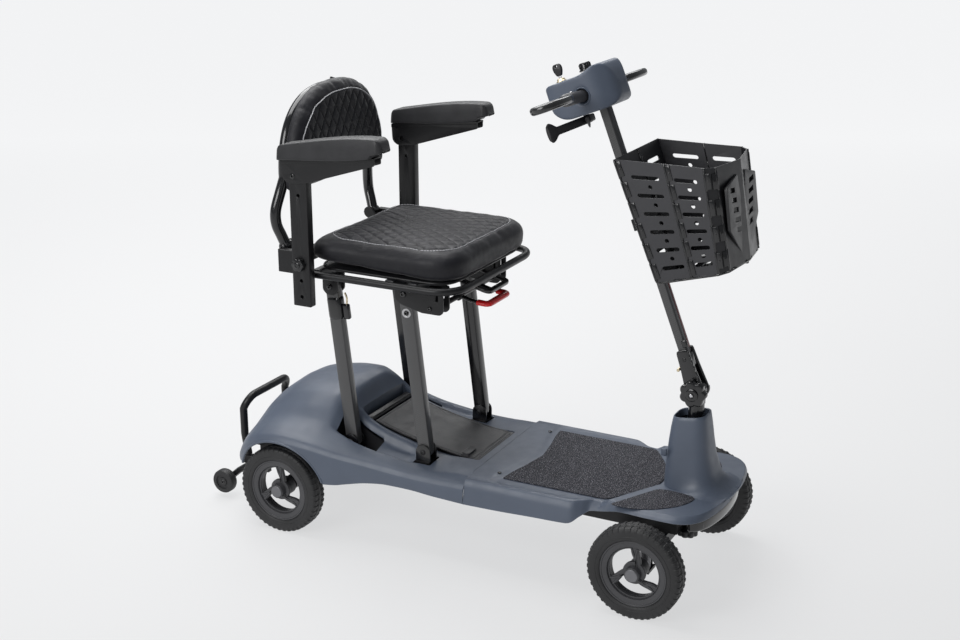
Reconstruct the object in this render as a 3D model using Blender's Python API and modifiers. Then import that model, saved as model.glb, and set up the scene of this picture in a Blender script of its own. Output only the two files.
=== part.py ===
"""Four-wheel folding mobility scooter, modelled as separate sub-parts on named joint axes.

Metres, +Z up, the scooter faces -Y and the rider's right-hand side is -X. All the sizes below are
given from the middle of the wheelbase at ground level; the "scooter" empty then moves everything so
that the origin is the middle of the footprint of the bounding box.
"""

import math

import bmesh
import bpy
from mathutils import Matrix, Vector

# ---- driving dimensions -------------------------------------------------------------------------
GAP = 0.0003                     # clearance between pieces that touch
REAR_REACH = 0.6775              # rearmost point, the anti-tip wheels
FRONT_REACH = 0.5696463          # foremost point, the lamp on the basket
CENTRE_Y = (REAR_REACH - FRONT_REACH) / 2

WHEEL_RADIUS = 0.100
RIM_RADIUS = 0.0709
TYRE_HALF_WIDTH = 0.0215
AXLE_Y = 0.4247                  # both axles are this far from the middle of the wheelbase
FRONT_WHEEL_X = 0.2165
REAR_WHEEL_X = 0.2085
STUB_RADIUS = 0.0062

DECK_Z = 0.203
SHELL = 0.003                    # thickness of the plastic covers
SEAM_Y = -0.025                  # joint between the floor shell and the rear cowl
RAIL_X = 0.1150
RAIL_Z = 0.1625
RAIL_SIZE = 0.025

STEER_Y = -0.4620                # upright steering axis
KINGPIN_X = 0.1650
ARM_LENGTH = 0.050               # steering arms, on the column and on both knuckles
TIE_ROD_Z = 0.135

TILT_AXIS = Vector((0.0, -0.4630, 0.4180))
TILLER_RAKE = math.radians(21.3)
TILLER_UP = Vector((0.0, math.sin(TILLER_RAKE), math.cos(TILLER_RAKE)))
TILLER_FORWARD = Vector((0.0, -math.cos(TILLER_RAKE), math.sin(TILLER_RAKE)))
TILLER_LENGTH = 0.603            # from the tilt axis to the underside of the head
THROTTLE_FORWARD = -0.0453       # throttle pivot, measured forward of the tiller's axis

LEG_X = 0.1320
LEG_WIDTH = 0.022
LEG_DEPTH = 0.034
FRONT_FOOT = Vector((0.0, 0.0976, 0.2258))
REAR_FOOT = Vector((0.0, 0.2800, 0.2166))
LEG_RISE = Vector((0.0, 0.0420, 0.3505))    # from a foot pivot to the pivot under the seat
EAR_THICKNESS = 0.004
EAR_X = LEG_WIDTH / 2 + EAR_THICKNESS / 2 + 0.0005

HOOP_Z = 0.6070
HOOP_RADIUS = 0.0080
CUSHION_X = 0.1950
CUSHION_FRONT = -0.0050
CUSHION_REAR = 0.3550
CUSHION_BOTTOM = 0.6225
CUSHION_TOP = 0.6850

CROSSBAR_Y = 0.3780
CROSSBAR_Z = 0.6320
BACK_AXIS = Vector((0.0, 0.4080, 0.6550))
BACK_HALF_WIDTH = 0.1780         # centreline of the backrest tube
BACK_ARCH_Z = 0.8000
BACK_TUBE_Y = 0.4170
BACK_TUBE_RADIUS = 0.0100
BACK_PAD_RADIUS = 0.1900

UPRIGHT_X = 0.2226
UPRIGHT_WIDTH = 0.020
UPRIGHT_Y = 0.3360
UPRIGHT_DEPTH = 0.047
ARM_PIVOT = Vector((0.0, 0.3450, 0.8250))
LEVER_AXIS = Vector((0.0, 0.0600, 0.5570))

RIGHT = -1
LEFT = 1
SIDES = ((RIGHT, "right"), (LEFT, "left"))

COLOURS = {
    "slate_plastic": ((0.085, 0.105, 0.135), 0.45, 0.0),
    "powder_coat": ((0.012, 0.012, 0.013), 0.42, 0.3),
    "black_plastic": ((0.014, 0.014, 0.015), 0.5, 0.0),
    "grip_mat": ((0.030, 0.030, 0.034), 0.9, 0.0),
    "rubber": ((0.012, 0.012, 0.012), 0.85, 0.0),
    "vinyl": ((0.015, 0.015, 0.017), 0.4, 0.0),
    "steel": ((0.35, 0.35, 0.36), 0.35, 1.0),
    "red_plastic": ((0.60, 0.01, 0.012), 0.35, 0.0),
}


# ---- scene helpers ------------------------------------------------------------------------------
def new_collection(name):
    """A collection of that name, linked to the scene."""
    group = bpy.data.collections.new(name)
    bpy.context.scene.collection.children.link(group)
    return group


def make_material(name):
    """The Principled material of one of the finishes."""
    colour, roughness, metallic = COLOURS[name]
    material = bpy.data.materials.new(name)
    material.use_nodes = True
    shader = material.node_tree.nodes["Principled BSDF"]
    shader.inputs["Base Color"].default_value = (*colour, 1.0)
    shader.inputs["Roughness"].default_value = roughness
    shader.inputs["Metallic"].default_value = metallic
    return material


def mirrored(vector, side):
    """The vector with its X on one side of the scooter."""
    return Vector((side * abs(vector[0]), vector[1], vector[2]))


def linked(name, data, matrix=None):
    """An object in the parts collection."""
    obj = bpy.data.objects.new(name, data)
    PARTS.objects.link(obj)
    if matrix is not None:
        obj.matrix_world = matrix
    return obj


def baked(obj):
    """The object's evaluated mesh in scooter coordinates; the object itself is removed."""
    bpy.context.view_layer.update()
    graph = bpy.context.evaluated_depsgraph_get()
    mesh = bpy.data.meshes.new_from_object(obj.evaluated_get(graph))
    mesh.transform(obj.matrix_world)
    bpy.data.objects.remove(obj)
    return cleaned(mesh)


def cleaned(mesh):
    """Weld loose caps and point every face outwards."""
    bm = bmesh.new()
    bm.from_mesh(mesh)
    bmesh.ops.remove_doubles(bm, verts=bm.verts, dist=0.00002)
    bmesh.ops.dissolve_degenerate(bm, edges=bm.edges, dist=0.00001)
    bmesh.ops.recalc_face_normals(bm, faces=bm.faces)
    bm.to_mesh(mesh)
    bm.free()
    return mesh


def combine(operation, base, *tools):
    """Boolean of the base mesh with each tool mesh in turn."""
    body = linked("boolean_base", base)
    helpers = []
    for tool in tools:
        helper = linked("boolean_tool", tool)
        helper.hide_render = True
        helper.display_type = "WIRE"
        modifier = body.modifiers.new("boolean", "BOOLEAN")
        modifier.operation = operation
        modifier.object = helper
        helpers.append(helper)
    mesh = baked(body)
    for helper in helpers:
        bpy.data.objects.remove(helper)
    return mesh


def unite(base, *others):
    return combine("UNION", base, *others)


def cut(base, *tools):
    return combine("DIFFERENCE", base, *tools)


# ---- shape helpers, all in scooter coordinates --------------------------------------------------
def frame_of(direction):
    """Rotation whose Z axis lies along the direction."""
    return Vector(direction).to_track_quat("Z", "Y").to_matrix().to_4x4()


def box(size, centre, bevel=0.0, turn=None):
    """A block, with rounded edges where bevel is given."""
    bm = bmesh.new()
    bmesh.ops.create_cube(bm, size=1.0, matrix=Matrix.Diagonal((*size, 1.0)))
    mesh = bpy.data.meshes.new("box")
    bm.to_mesh(mesh)
    bm.free()
    rotation = turn if turn is not None else Matrix()
    obj = linked("box", mesh, Matrix.Translation(centre) @ rotation)
    if bevel:
        modifier = obj.modifiers.new("bevel", "BEVEL")
        modifier.width = bevel
        modifier.segments = 2
    return baked(obj)


def rod(radius, start, end, segments=16):
    """A round bar."""
    start = Vector(start)
    axis = Vector(end) - start
    bm = bmesh.new()
    bmesh.ops.create_cone(bm, cap_ends=True, segments=segments, radius1=radius, radius2=radius,
                          depth=axis.length)
    mesh = bpy.data.meshes.new("rod")
    bm.to_mesh(mesh)
    bm.free()
    mesh.transform(Matrix.Translation(start + axis / 2) @ frame_of(axis))
    return cleaned(mesh)


def tube(points, radius, cyclic=False, sides=2):
    """A bent tube through the points."""
    curve = bpy.data.curves.new("tube", "CURVE")
    curve.dimensions = "3D"
    curve.bevel_depth = radius
    curve.bevel_resolution = sides
    curve.use_fill_caps = True
    spline = curve.splines.new("POLY")
    spline.points.add(len(points) - 1)
    for target, point in zip(spline.points, points):
        target.co = (*point, 1.0)
    spline.use_cyclic_u = cyclic
    return baked(linked("tube", curve))


def plate(outline, thickness, centre=0.0, bevel=0.0, axis="X"):
    """A flat outline with thickness. On axis X the outline is (y, z); on axis Z it is (x, y)."""
    curve = bpy.data.curves.new("plate", "CURVE")
    curve.dimensions = "2D"
    curve.fill_mode = "BOTH"
    curve.extrude = thickness / 2
    spline = curve.splines.new("POLY")
    spline.points.add(len(outline) - 1)
    for target, point in zip(spline.points, outline):
        target.co = (point[0], point[1], 0.0, 1.0)
    spline.use_cyclic_u = True
    mesh = baked(linked("plate", curve))
    if bevel:
        obj = linked("plate", mesh)
        modifier = obj.modifiers.new("bevel", "BEVEL")
        modifier.width = bevel
        modifier.segments = 2
        modifier.limit_method = "ANGLE"
        modifier.angle_limit = math.radians(50)
        mesh = baked(obj)
    swap = Matrix(((0, 0, 1, 0), (1, 0, 0, 0), (0, 1, 0, 0), (0, 0, 0, 1)))
    shift = Matrix.Translation((0, 0, centre))
    mesh.transform(swap @ shift if axis == "X" else shift)
    return cleaned(mesh)


def turned(profile, origin, direction, steps=24):
    """A turned shape: the profile is (radius, distance along the direction), a closed line."""
    mesh = bpy.data.meshes.new("turned")
    count = len(profile)
    closed = profile[0][0] > 0 or profile[-1][0] > 0
    edges = [(i, (i + 1) % count) for i in range(count if closed else count - 1)]
    mesh.from_pydata([(r, 0.0, z) for r, z in profile], edges, [])
    obj = linked("turned", mesh, Matrix.Translation(origin) @ frame_of(direction))
    modifier = obj.modifiers.new("screw", "SCREW")
    modifier.steps = steps
    modifier.render_steps = steps
    modifier.use_merge_vertices = True
    modifier.merge_threshold = 0.00005
    return baked(obj)


def loft(rings):
    """A closed solid through rings with the same number of points."""
    bm = bmesh.new()
    rows = [[bm.verts.new(point) for point in ring] for ring in rings]
    count = len(rows[0])
    for low, high in zip(rows, rows[1:]):
        for i in range(count):
            j = (i + 1) % count
            bm.faces.new((low[i], low[j], high[j], high[i]))
    bm.faces.new(reversed(rows[0]))
    bm.faces.new(rows[-1])
    mesh = bpy.data.meshes.new("loft")
    bm.to_mesh(mesh)
    bm.free()
    return cleaned(mesh)


def sheet(rows, thickness):
    """A shell: an open surface through rows of points, thickened to its underside."""
    bm = bmesh.new()
    grid = [[bm.verts.new(point) for point in row] for row in rows]
    for near, far in zip(grid, grid[1:]):
        for i in range(len(near) - 1):
            bm.faces.new((near[i], near[i + 1], far[i + 1], far[i]))
    mesh = bpy.data.meshes.new("sheet")
    bm.to_mesh(mesh)
    bm.free()
    obj = linked("sheet", mesh)
    modifier = obj.modifiers.new("solidify", "SOLIDIFY")
    modifier.thickness = thickness
    modifier.offset = -1.0
    return baked(obj)


def arc(centre, radius, start, end, steps):
    """Points of an arc in a plane, angles in degrees."""
    angles = [math.radians(start + (end - start) * i / steps) for i in range(steps + 1)]
    return [(centre[0] + radius * math.cos(a), centre[1] + radius * math.sin(a)) for a in angles]


def rounded_outline(half_width, front, rear, radius, steps=4):
    """A rectangle in plan with rounded corners."""
    x = half_width - radius
    corners = ((x, rear - radius, 0), (-x, rear - radius, 90),
               (-x, front + radius, 180), (x, front + radius, 270))
    points = []
    for cx, cy, start in corners:
        points += arc((cx, cy), radius, start, start + 90, steps)
    return points


def on_tiller(along, forward=0.0, x=0.0):
    """A point given by its distance up the tiller and forward of the tiller's axis."""
    return TILT_AXIS + TILLER_UP * along + TILLER_FORWARD * forward + Vector((x, 0.0, 0.0))


TILLER_FRAME = Matrix((
    (1, 0, 0, 0),
    (0, -TILLER_FORWARD.y, TILLER_UP.y, 0),
    (0, -TILLER_FORWARD.z, TILLER_UP.z, 0),
    (0, 0, 0, 1),
))


def tiller_box(size, along, forward, x=0.0, bevel=0.0):
    """A block square to the tiller; its size is (x, along the forward axis, up the tiller)."""
    return box(size, on_tiller(along, forward, x), bevel, TILLER_FRAME)


# ---- bodies and pieces --------------------------------------------------------------------------
BODIES = {}


def add_body(name, pivot, parent=None):
    """An empty on a joint axis, which carries the pieces of one moving body."""
    empty = bpy.data.objects.new("body_" + name, None)
    PARTS.objects.link(empty)
    empty.empty_display_size = 0.03
    if parent is None:
        empty.parent = SCOOTER
        empty.location = pivot
    else:
        empty.parent = BODIES[parent][0]
        empty.location = Vector(pivot) - BODIES[parent][1]
    BODIES[name] = (empty, Vector(pivot))


def piece(name, mesh, body, finish, sharp=35):
    """Make the mesh a named piece of a body."""
    empty, pivot = BODIES[body]
    mesh.transform(Matrix.Translation(-pivot))
    mesh.name = name
    mesh.materials.clear()
    mesh.materials.append(MATERIALS[finish])
    mesh.shade_smooth()
    mesh.set_sharp_from_angle(angle=math.radians(sharp))
    obj = linked(name, mesh)
    obj.parent = empty
    return obj


# ---- chassis ------------------------------------------------------------------------------------
def leg_ears(pivot, x, bottom, half_depth=0.017):
    """Two round-topped ears on either side of a leg's pivot."""
    ears = []
    for offset in (-EAR_X, EAR_X):
        outline = [(pivot.y - half_depth, bottom), (pivot.y + half_depth, bottom)]
        outline += arc((pivot.y, pivot.z), half_depth, 0, 180, 5)
        ears.append(plate(outline, EAR_THICKNESS, x + offset))
    return ears


def make_chassis():
    """Steel frame under the covers, with the head tube and the four seat-leg feet."""
    rail_front = -0.475
    rail_rear = 0.555
    solids = []
    for side, _ in SIDES:
        solids.append(box((RAIL_SIZE, rail_rear - rail_front, RAIL_SIZE),
                          (side * RAIL_X, (rail_rear + rail_front) / 2, RAIL_Z)))
    for y in (STEER_Y, -0.270, 0.300, 0.542):
        solids.append(box((2 * RAIL_X, RAIL_SIZE, RAIL_SIZE - 0.001), (0, y, RAIL_Z)))
    solids.append(rod(0.0220, (0, STEER_Y, 0.151), (0, STEER_Y, 0.330), 20))
    for foot in (FRONT_FOOT, REAR_FOOT):
        for side, _ in SIDES:
            x = side * LEG_X
            post_top = foot.z - 0.020
            solids.append(box((0.040, 0.034, post_top - RAIL_Z + 0.010),
                              (x, foot.y, (post_top + RAIL_Z - 0.010) / 2)))
            solids += leg_ears(foot, x, post_top - 0.004)
            for offset in (-EAR_X, EAR_X):
                outer = x + offset * 1.30
                solids.append(rod(0.0055, (x + offset, foot.y, foot.z), (outer, foot.y, foot.z), 8))
    frame = unite(*solids)
    bore = rod(0.0136, (0, STEER_Y, 0.120), (0, STEER_Y, 0.350), 20)
    piece("chassis_frame", cut(frame, bore), "chassis", "powder_coat")


def make_front_beam():
    """Front axle beam with a fork for each kingpin, on two posts from the rails."""
    solids = [box((0.295, 0.028, 0.024), (0, -AXLE_Y, 0.110))]
    for side, _ in SIDES:
        x = side * KINGPIN_X
        solids.append(box((0.005, 0.016, 0.0640), (side * 0.1455, -AXLE_Y, 0.1100)))
        for z in (0.0810, 0.1390):
            solids.append(box((0.039, 0.028, 0.006), (x - side * 0.0025, -AXLE_Y, z)))
        solids.append(box((0.020, 0.026, 0.0325), (side * RAIL_X, -AXLE_Y, 0.1334)))
    piece("front_axle_beam", unite(*solids), "chassis", "powder_coat")


def make_transaxle():
    """Motor and gearbox across the rear, with an axle that carries both rear wheels."""
    housing = rod(0.042, (-0.050, AXLE_Y, 0.100), (0.050, AXLE_Y, 0.100), 20)
    motor = rod(0.034, (0.010, 0.330, 0.104), (0.105, 0.330, 0.104), 20)
    neck = box((0.060, 0.080, 0.050), (0.020, 0.375, 0.104))
    axle_tube = rod(0.017, (-0.1780, AXLE_Y, 0.100), (0.1780, AXLE_Y, 0.100), 16)
    axle = rod(STUB_RADIUS, (-0.2260, AXLE_Y, 0.100), (0.2260, AXLE_Y, 0.100), 12)
    hangers = [box((0.012, 0.036, 0.046), (side * 0.119, AXLE_Y, 0.1262)) for side, _ in SIDES]
    piece("transaxle", unite(housing, motor, neck, axle_tube, axle, *hangers),
          "chassis", "powder_coat")


def make_controller():
    body = box((0.236, 0.090, 0.040), (0, 0.470, 0.1955), 0.004)
    ribs = [box((0.150, 0.004, 0.010), (0, 0.440 + 0.012 * i, 0.2180)) for i in range(6)]
    piece("controller_box", unite(body, *ribs), "chassis", "powder_coat")


def make_rear_handle():
    """Inverted U of tube behind the cowl, for lifting the rear half."""
    half, top, bend = 0.085, 0.243, 0.030
    left = [(half, 0.607, 0.1005), (half, 0.615, 0.150)]
    corner = arc((half - bend, top - bend), bend, 0, 90, 5)
    left += [(x, 0.615 - 0.014 * (z - top + bend) / bend, z) for x, z in corner]
    path = left + [(-x, y, z) for x, y, z in reversed(left)]
    piece("rear_handle", tube(path, 0.0090, sides=3), "chassis", "powder_coat")


def make_anti_tip_bar():
    """Cross bar behind the frame with an arm down to each anti-tip wheel."""
    solids = [rod(0.009, (-0.110, 0.590, 0.084), (0.110, 0.590, 0.084), 12)]
    drop_top = RAIL_Z - RAIL_SIZE / 2 - GAP
    for side, _ in SIDES:
        solids.append(box((0.016, 0.040, 0.020), (side * 0.085, 0.602, 0.0880)))
        solids.append(box((0.012, 0.020, drop_top - 0.077), (side * 0.107, 0.5420,
                                                             (drop_top + 0.077) / 2)))
        solids.append(box((0.012, 0.058, 0.014), (side * 0.107, 0.5610, 0.0840)))
        solids.append(tube([(side * 0.106, 0.590, 0.084), (side * 0.106, 0.622, 0.062),
                            (side * 0.106, 0.649, 0.0385)], 0.0075))
        solids.append(rod(0.0045, (side * 0.104, 0.649, 0.0385), (side * 0.1345, 0.649, 0.0385), 10))
    piece("anti_tip_bar", unite(*solids), "chassis", "powder_coat")


def make_bumper():
    """Black guard under the nose."""
    outline = [(0.132, -0.500), (0.122, -0.518), (0.095, -0.532), (0.050, -0.541), (0.0, -0.544)]
    outer = [(-x, y) for x, y in outline[:-1]] + outline[::-1]
    inner = [(x * 0.93, y + 0.0105) for x, y in reversed(outer)]
    guard = plate(outer + inner, 0.026, 0.1765, axis="Z")
    stays = [box((0.018, 0.0500, 0.014), (side * 0.105, -0.5004, 0.1760)) for side, _ in SIDES]
    piece("front_bumper", unite(guard, *stays), "chassis", "black_plastic")


# ---- plastic covers -----------------------------------------------------------------------------
# y at the edge, forward sweep of the row towards the middle, height above the deck, half-width,
# height of the bottom edge, drop of the rim below the top
FLOOR_STATIONS = (
    (SEAM_Y - GAP, 0.00, 0.000, 0.1985, 0.1515, 0.0110),
    (-0.1000, 0.00, 0.000, 0.1980, 0.1530, 0.0110),
    (-0.1800, 0.00, 0.000, 0.1970, 0.1560, 0.0110),
    (-0.2620, 0.00, 0.000, 0.1960, 0.1590, 0.0110),
    (-0.2860, 0.20, 0.000, 0.1850, 0.1740, 0.0090),
    (-0.3030, 0.40, 0.000, 0.1710, 0.1850, 0.0070),
    (-0.3170, 0.56, 0.000, 0.1690, 0.1868, 0.0065),
    (-0.3280, 0.56, 0.005, 0.1692, 0.1885, 0.0060),
    (-0.3390, 0.56, 0.010, 0.1700, 0.1910, 0.0060),
    (-0.3650, 0.50, 0.010, 0.1765, 0.1985, 0.0055),
    (-0.3950, 0.35, 0.010, 0.1840, 0.2025, 0.0040),
    (-0.4250, 0.22, 0.010, 0.1868, 0.2030, 0.0040),
    (-0.4550, 0.10, 0.010, 0.1872, 0.2030, 0.0040),
    (-0.4820, 0.00, 0.010, 0.1860, 0.2025, 0.0040),
    (-0.5040, 0.00, 0.010, 0.1780, 0.2015, 0.0040),
    (-0.5220, 0.00, 0.010, 0.1620, 0.2005, 0.0040),
    (-0.5350, 0.00, 0.010, 0.1380, 0.2000, 0.0040),
    (-0.5440, 0.00, 0.010, 0.1030, 0.2000, 0.0040),
    (-0.5490, 0.00, 0.010, 0.0640, 0.2000, 0.0040),
    (-0.5510, 0.00, 0.010, 0.0280, 0.2000, 0.0040),
)
FLOOR_FRACTIONS = (0.0, 0.32, 0.60, 0.80, 0.93)
SWEEP_HALF = 0.165
WALL_INSET = 0.014


def floor_row(station):
    """One line across the floor shell, from the right-hand edge to the left-hand edge."""
    y, sweep, rise, half, bottom, drop = station
    inner = half - WALL_INSET
    top = DECK_Z + rise
    half_row = [(f * inner, top) for f in FLOOR_FRACTIONS]
    half_row += [(inner, top - 0.2 * drop), (inner + 0.42 * WALL_INSET, top - drop)]
    half_row += [(inner + 0.75 * WALL_INSET, (top - drop + bottom) / 2), (half, bottom)]
    swept = [(x, y - sweep * max(0.0, SWEEP_HALF - x), z) for x, z in half_row]
    return [(-x, py, z) for x, py, z in reversed(swept[1:])] + swept


def make_floor_shell():
    shell = sheet([floor_row(station) for station in reversed(FLOOR_STATIONS)], SHELL)
    hole = rod(0.0350, (0, STEER_Y, 0.170), (0, STEER_Y, 0.240), 20)
    piece("floor_shell", cut(shell, hole), "chassis", "slate_plastic")


def make_shroud():
    """Flared plastic column cover that stands on the apron."""
    base_z = DECK_Z + 0.0100 + 2 * GAP
    levels = (  # height, rear y, front y, half-width
        (base_z, -0.4137, -0.5270, 0.0580), (0.2350, -0.4145, -0.5150, 0.0540),
        (0.2750, -0.4155, -0.5050, 0.0490), (0.3300, -0.4170, -0.4985, 0.0430),
        (0.3550, -0.4200, -0.4960, 0.0385),
    )

    def ring(level, inset):
        z, rear, front, half = level
        tilt = 0.0150 if level is levels[-1] else 0.0
        centre, reach = (rear + front) / 2, (rear - front) / 2 - inset
        points = []
        for i in range(20):
            angle = 2 * math.pi * i / 20
            x, y = math.cos(angle), math.sin(angle)
            squareness = 1.0 / (abs(x) ** 3 + abs(y) ** 3) ** (1 / 3)
            points.append(((half - inset) * x * squareness, centre + reach * y * squareness,
                           z - tilt * y))
        return points

    outer = loft([ring(level, 0.0) for level in levels])
    core = [ring(level, SHELL) for level in levels]
    core[0] = [(x, y, z - 0.010) for x, y, z in core[0]]
    core[-1] = [(x, y, z + 0.002) for x, y, z in core[-1]]
    piece("column_shroud", cut(outer, loft(core)), "chassis", "slate_plastic")


MAT_OUTLINE = ((0.146, -0.0940), (0.110, -0.0985), (0.060, -0.1090), (0.0, -0.1185))
MAT_SIDE = ((0.1440, -0.3150), (0.1380, -0.3240), (0.0900, -0.3550), (0.0420, -0.3810),
            (0.0280, -0.3860))


def make_floor_mat():
    half = list(MAT_SIDE)[::-1] + list(MAT_OUTLINE)
    outline = half + [(-x, y) for x, y in reversed(half[:-1])]
    thickness = 0.0022
    piece("floor_mat", plate(outline, thickness, DECK_Z + GAP + thickness / 2, axis="Z"),
          "chassis", "grip_mat")


COWL_FRACTIONS = (0.0, 0.24, 0.44, 0.58, 0.72, 0.88, 0.965, 1.0)
COWL_STATIONS = (  # y, half-width, bottom, then the height at each fraction of the half-width
    (SEAM_Y + GAP, 0.1950, 0.1515, (0.203, 0.203, 0.203, 0.203, 0.203, 0.2005, 0.194, 0.184)),
    (0.0500, 0.1950, 0.1540, (0.205, 0.205, 0.205, 0.204, 0.203, 0.2000, 0.192, 0.182)),
    (0.1050, 0.1960, 0.1570, (0.212, 0.212, 0.211, 0.206, 0.2045, 0.2005, 0.193, 0.182)),
    (0.1600, 0.1980, 0.1570, (0.223, 0.223, 0.222, 0.214, 0.211, 0.2050, 0.197, 0.185)),
    (0.2100, 0.2010, 0.1520, (0.236, 0.236, 0.234, 0.225, 0.218, 0.2100, 0.201, 0.190)),
    (0.2600, 0.2080, 0.1420, (0.257, 0.257, 0.254, 0.244, 0.229, 0.2160, 0.207, 0.196)),
    (0.2850, 0.2130, 0.1370, (0.276, 0.276, 0.273, 0.258, 0.236, 0.2200, 0.211, 0.200)),
    (0.3150, 0.2180, 0.1350, (0.315, 0.312, 0.296, 0.272, 0.246, 0.2260, 0.217, 0.206)),
    (0.3450, 0.2230, 0.1350, (0.335, 0.331, 0.312, 0.283, 0.252, 0.2320, 0.223, 0.212)),
    (0.3850, 0.2280, 0.1350, (0.331, 0.326, 0.309, 0.281, 0.252, 0.2370, 0.229, 0.217)),
    (0.4250, 0.2300, 0.1350, (0.317, 0.312, 0.296, 0.271, 0.249, 0.2390, 0.231, 0.219)),
    (0.4640, 0.2290, 0.1400, (0.298, 0.293, 0.278, 0.258, 0.243, 0.2350, 0.227, 0.215)),
    (0.5000, 0.2220, 0.1450, (0.275, 0.271, 0.258, 0.243, 0.231, 0.2220, 0.213, 0.201)),
    (0.5300, 0.2080, 0.1420, (0.248, 0.245, 0.235, 0.222, 0.211, 0.2000, 0.190, 0.180)),
    (0.5550, 0.1860, 0.1330, (0.214, 0.212, 0.204, 0.194, 0.183, 0.1720, 0.162, 0.154)),
    (0.5750, 0.1580, 0.1270, (0.178, 0.176, 0.171, 0.164, 0.156, 0.1470, 0.141, 0.136)),
    (0.5880, 0.1300, 0.1230, (0.145, 0.144, 0.141, 0.138, 0.134, 0.1300, 0.127, 0.125)),
)


def cowl_row(station):
    """One cross-section of the rear cowl, from the right-hand edge to the left-hand edge."""
    y, half, bottom, heights = station
    half_row = [(f * half, z) for f, z in zip(COWL_FRACTIONS, heights)]
    half_row.append((half + 0.0030 * (y < 0.1), bottom))
    right = [(-x, y, z) for x, z in reversed(half_row[1:])]
    return right + [(x, y, z) for x, z in half_row]


def make_cowl():
    """Rear cover: battery bay in front, a dome behind it, and a fender over each rear wheel."""
    shell = sheet([cowl_row(station) for station in COWL_STATIONS], SHELL)
    tools = [box((0.1810, 0.2925, 0.200), (0, 0.13775, 0.250))]
    for side, _ in SIDES:
        arch = rod(0.1170, (side * 0.150, AXLE_Y, 0.100), (side * 0.260, AXLE_Y, 0.100), 32)
        tools.append(arch)
        for foot, length, shift in ((FRONT_FOOT, 0.0440, 0.0010), (REAR_FOOT, 0.1040, -0.0200)):
            tools.append(box((0.0460, length, 0.080),
                             (side * (LEG_X + 0.0010), foot.y + shift, 0.230)))
    piece("rear_cowl", cut(shell, *tools), "chassis", "slate_plastic")


# ---- battery ------------------------------------------------------------------------------------
LID_TOP = ((-0.0080, 0.2045), (0.0500, 0.2090), (0.1100, 0.2180), (0.1600, 0.2270),
           (0.2100, 0.2390), (0.2500, 0.2515))
LID_THICKNESS = 0.0070


def make_battery():
    pack = box((0.1700, 0.2300, 0.0440), (0, 0.1200, 0.1725), 0.004)
    piece("battery_pack", pack, "battery", "black_plastic")
    underside = [(y, z - LID_THICKNESS) for y, z in reversed(LID_TOP)]
    lid = plate(list(LID_TOP) + underside, 0.1780)
    handle = box((0.1100, 0.0160, 0.0100), (0, 0.2580, 0.2430), 0.003)
    notch = box((0.0410, 0.0230, 0.0600), (-0.0480, 0.0330, 0.2080))
    piece("battery_lid", cut(unite(lid, handle), notch), "battery", "black_plastic")
    button = box((0.0400, 0.0220, 0.0120), (-0.0480, 0.0330, 0.2072), 0.0025)
    piece("battery_latch", button, "battery_latch", "black_plastic")


# ---- wheels -------------------------------------------------------------------------------------
def make_tyre(name, centre, side, body):
    w = TYRE_HALF_WIDTH
    half = [(RIM_RADIUS + GAP, 0.0180), (0.0800, w), (0.0930, w - 0.0010), (WHEEL_RADIUS, 0.0110)]
    profile = half + [(r, -a) for r, a in reversed(half)]
    piece(name, turned(profile, centre, (side, 0, 0), 24), body, "rubber")


def window(start):
    """Outline of one opening between two curved spokes."""
    outer = arc((0, 0), 0.0520, start + 22, start + 108, 4)
    inner = arc((0, 0), 0.0265, start + 84, start + 8, 3)
    return outer + inner


def make_rim(name, centre, side, body):
    """Moulded wheel: barrel, three curved spokes, hub with a blind bore and a flat cap."""
    profile = [(0.0, 0.0275), (0.0165, 0.0275), (0.0165, 0.0120), (0.0550, 0.0120),
               (0.0585, 0.0165), (RIM_RADIUS, 0.0165), (RIM_RADIUS, -0.0165), (0.0590, -0.0165),
               (0.0560, 0.0040), (0.0205, 0.0040), (0.0205, -0.0225), (0.0065, -0.0225),
               (0.0065, 0.0182), (0.0, 0.0182)]
    wheel = turned(profile, (0, 0, 0), (0, 0, 1), 24)
    tools = [plate(window(120 * i), 0.050, axis="Z") for i in range(3)]
    wheel = cut(wheel, *tools)
    wheel.transform(Matrix.Translation(centre) @ frame_of((side, 0, 0)))
    piece(name, cleaned(wheel), body, "black_plastic")


def make_wheels():
    for side, label in SIDES:
        for end, x, y in (("front", FRONT_WHEEL_X, -AXLE_Y), ("rear", REAR_WHEEL_X, AXLE_Y)):
            centre = Vector((side * x, y, WHEEL_RADIUS))
            body = end + "_wheel_" + label
            make_tyre("tyre_" + end + "_" + label, centre, side, body)
            make_rim("rim_" + end + "_" + label, centre, side, body)
        profile = [(0.0051, -0.0110), (0.0250, -0.0110), (0.0285, -0.0080), (0.0285, 0.0080),
                   (0.0250, 0.0110), (0.0160, 0.0110), (0.0145, 0.0085), (0.0051, 0.0085)]
        centre = (side * 0.1265, 0.6490, 0.0385)
        piece("anti_tip_wheel_" + label, turned(profile, centre, (side, 0, 0), 16),
              "anti_tip_wheel_" + label, "rubber")


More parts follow.
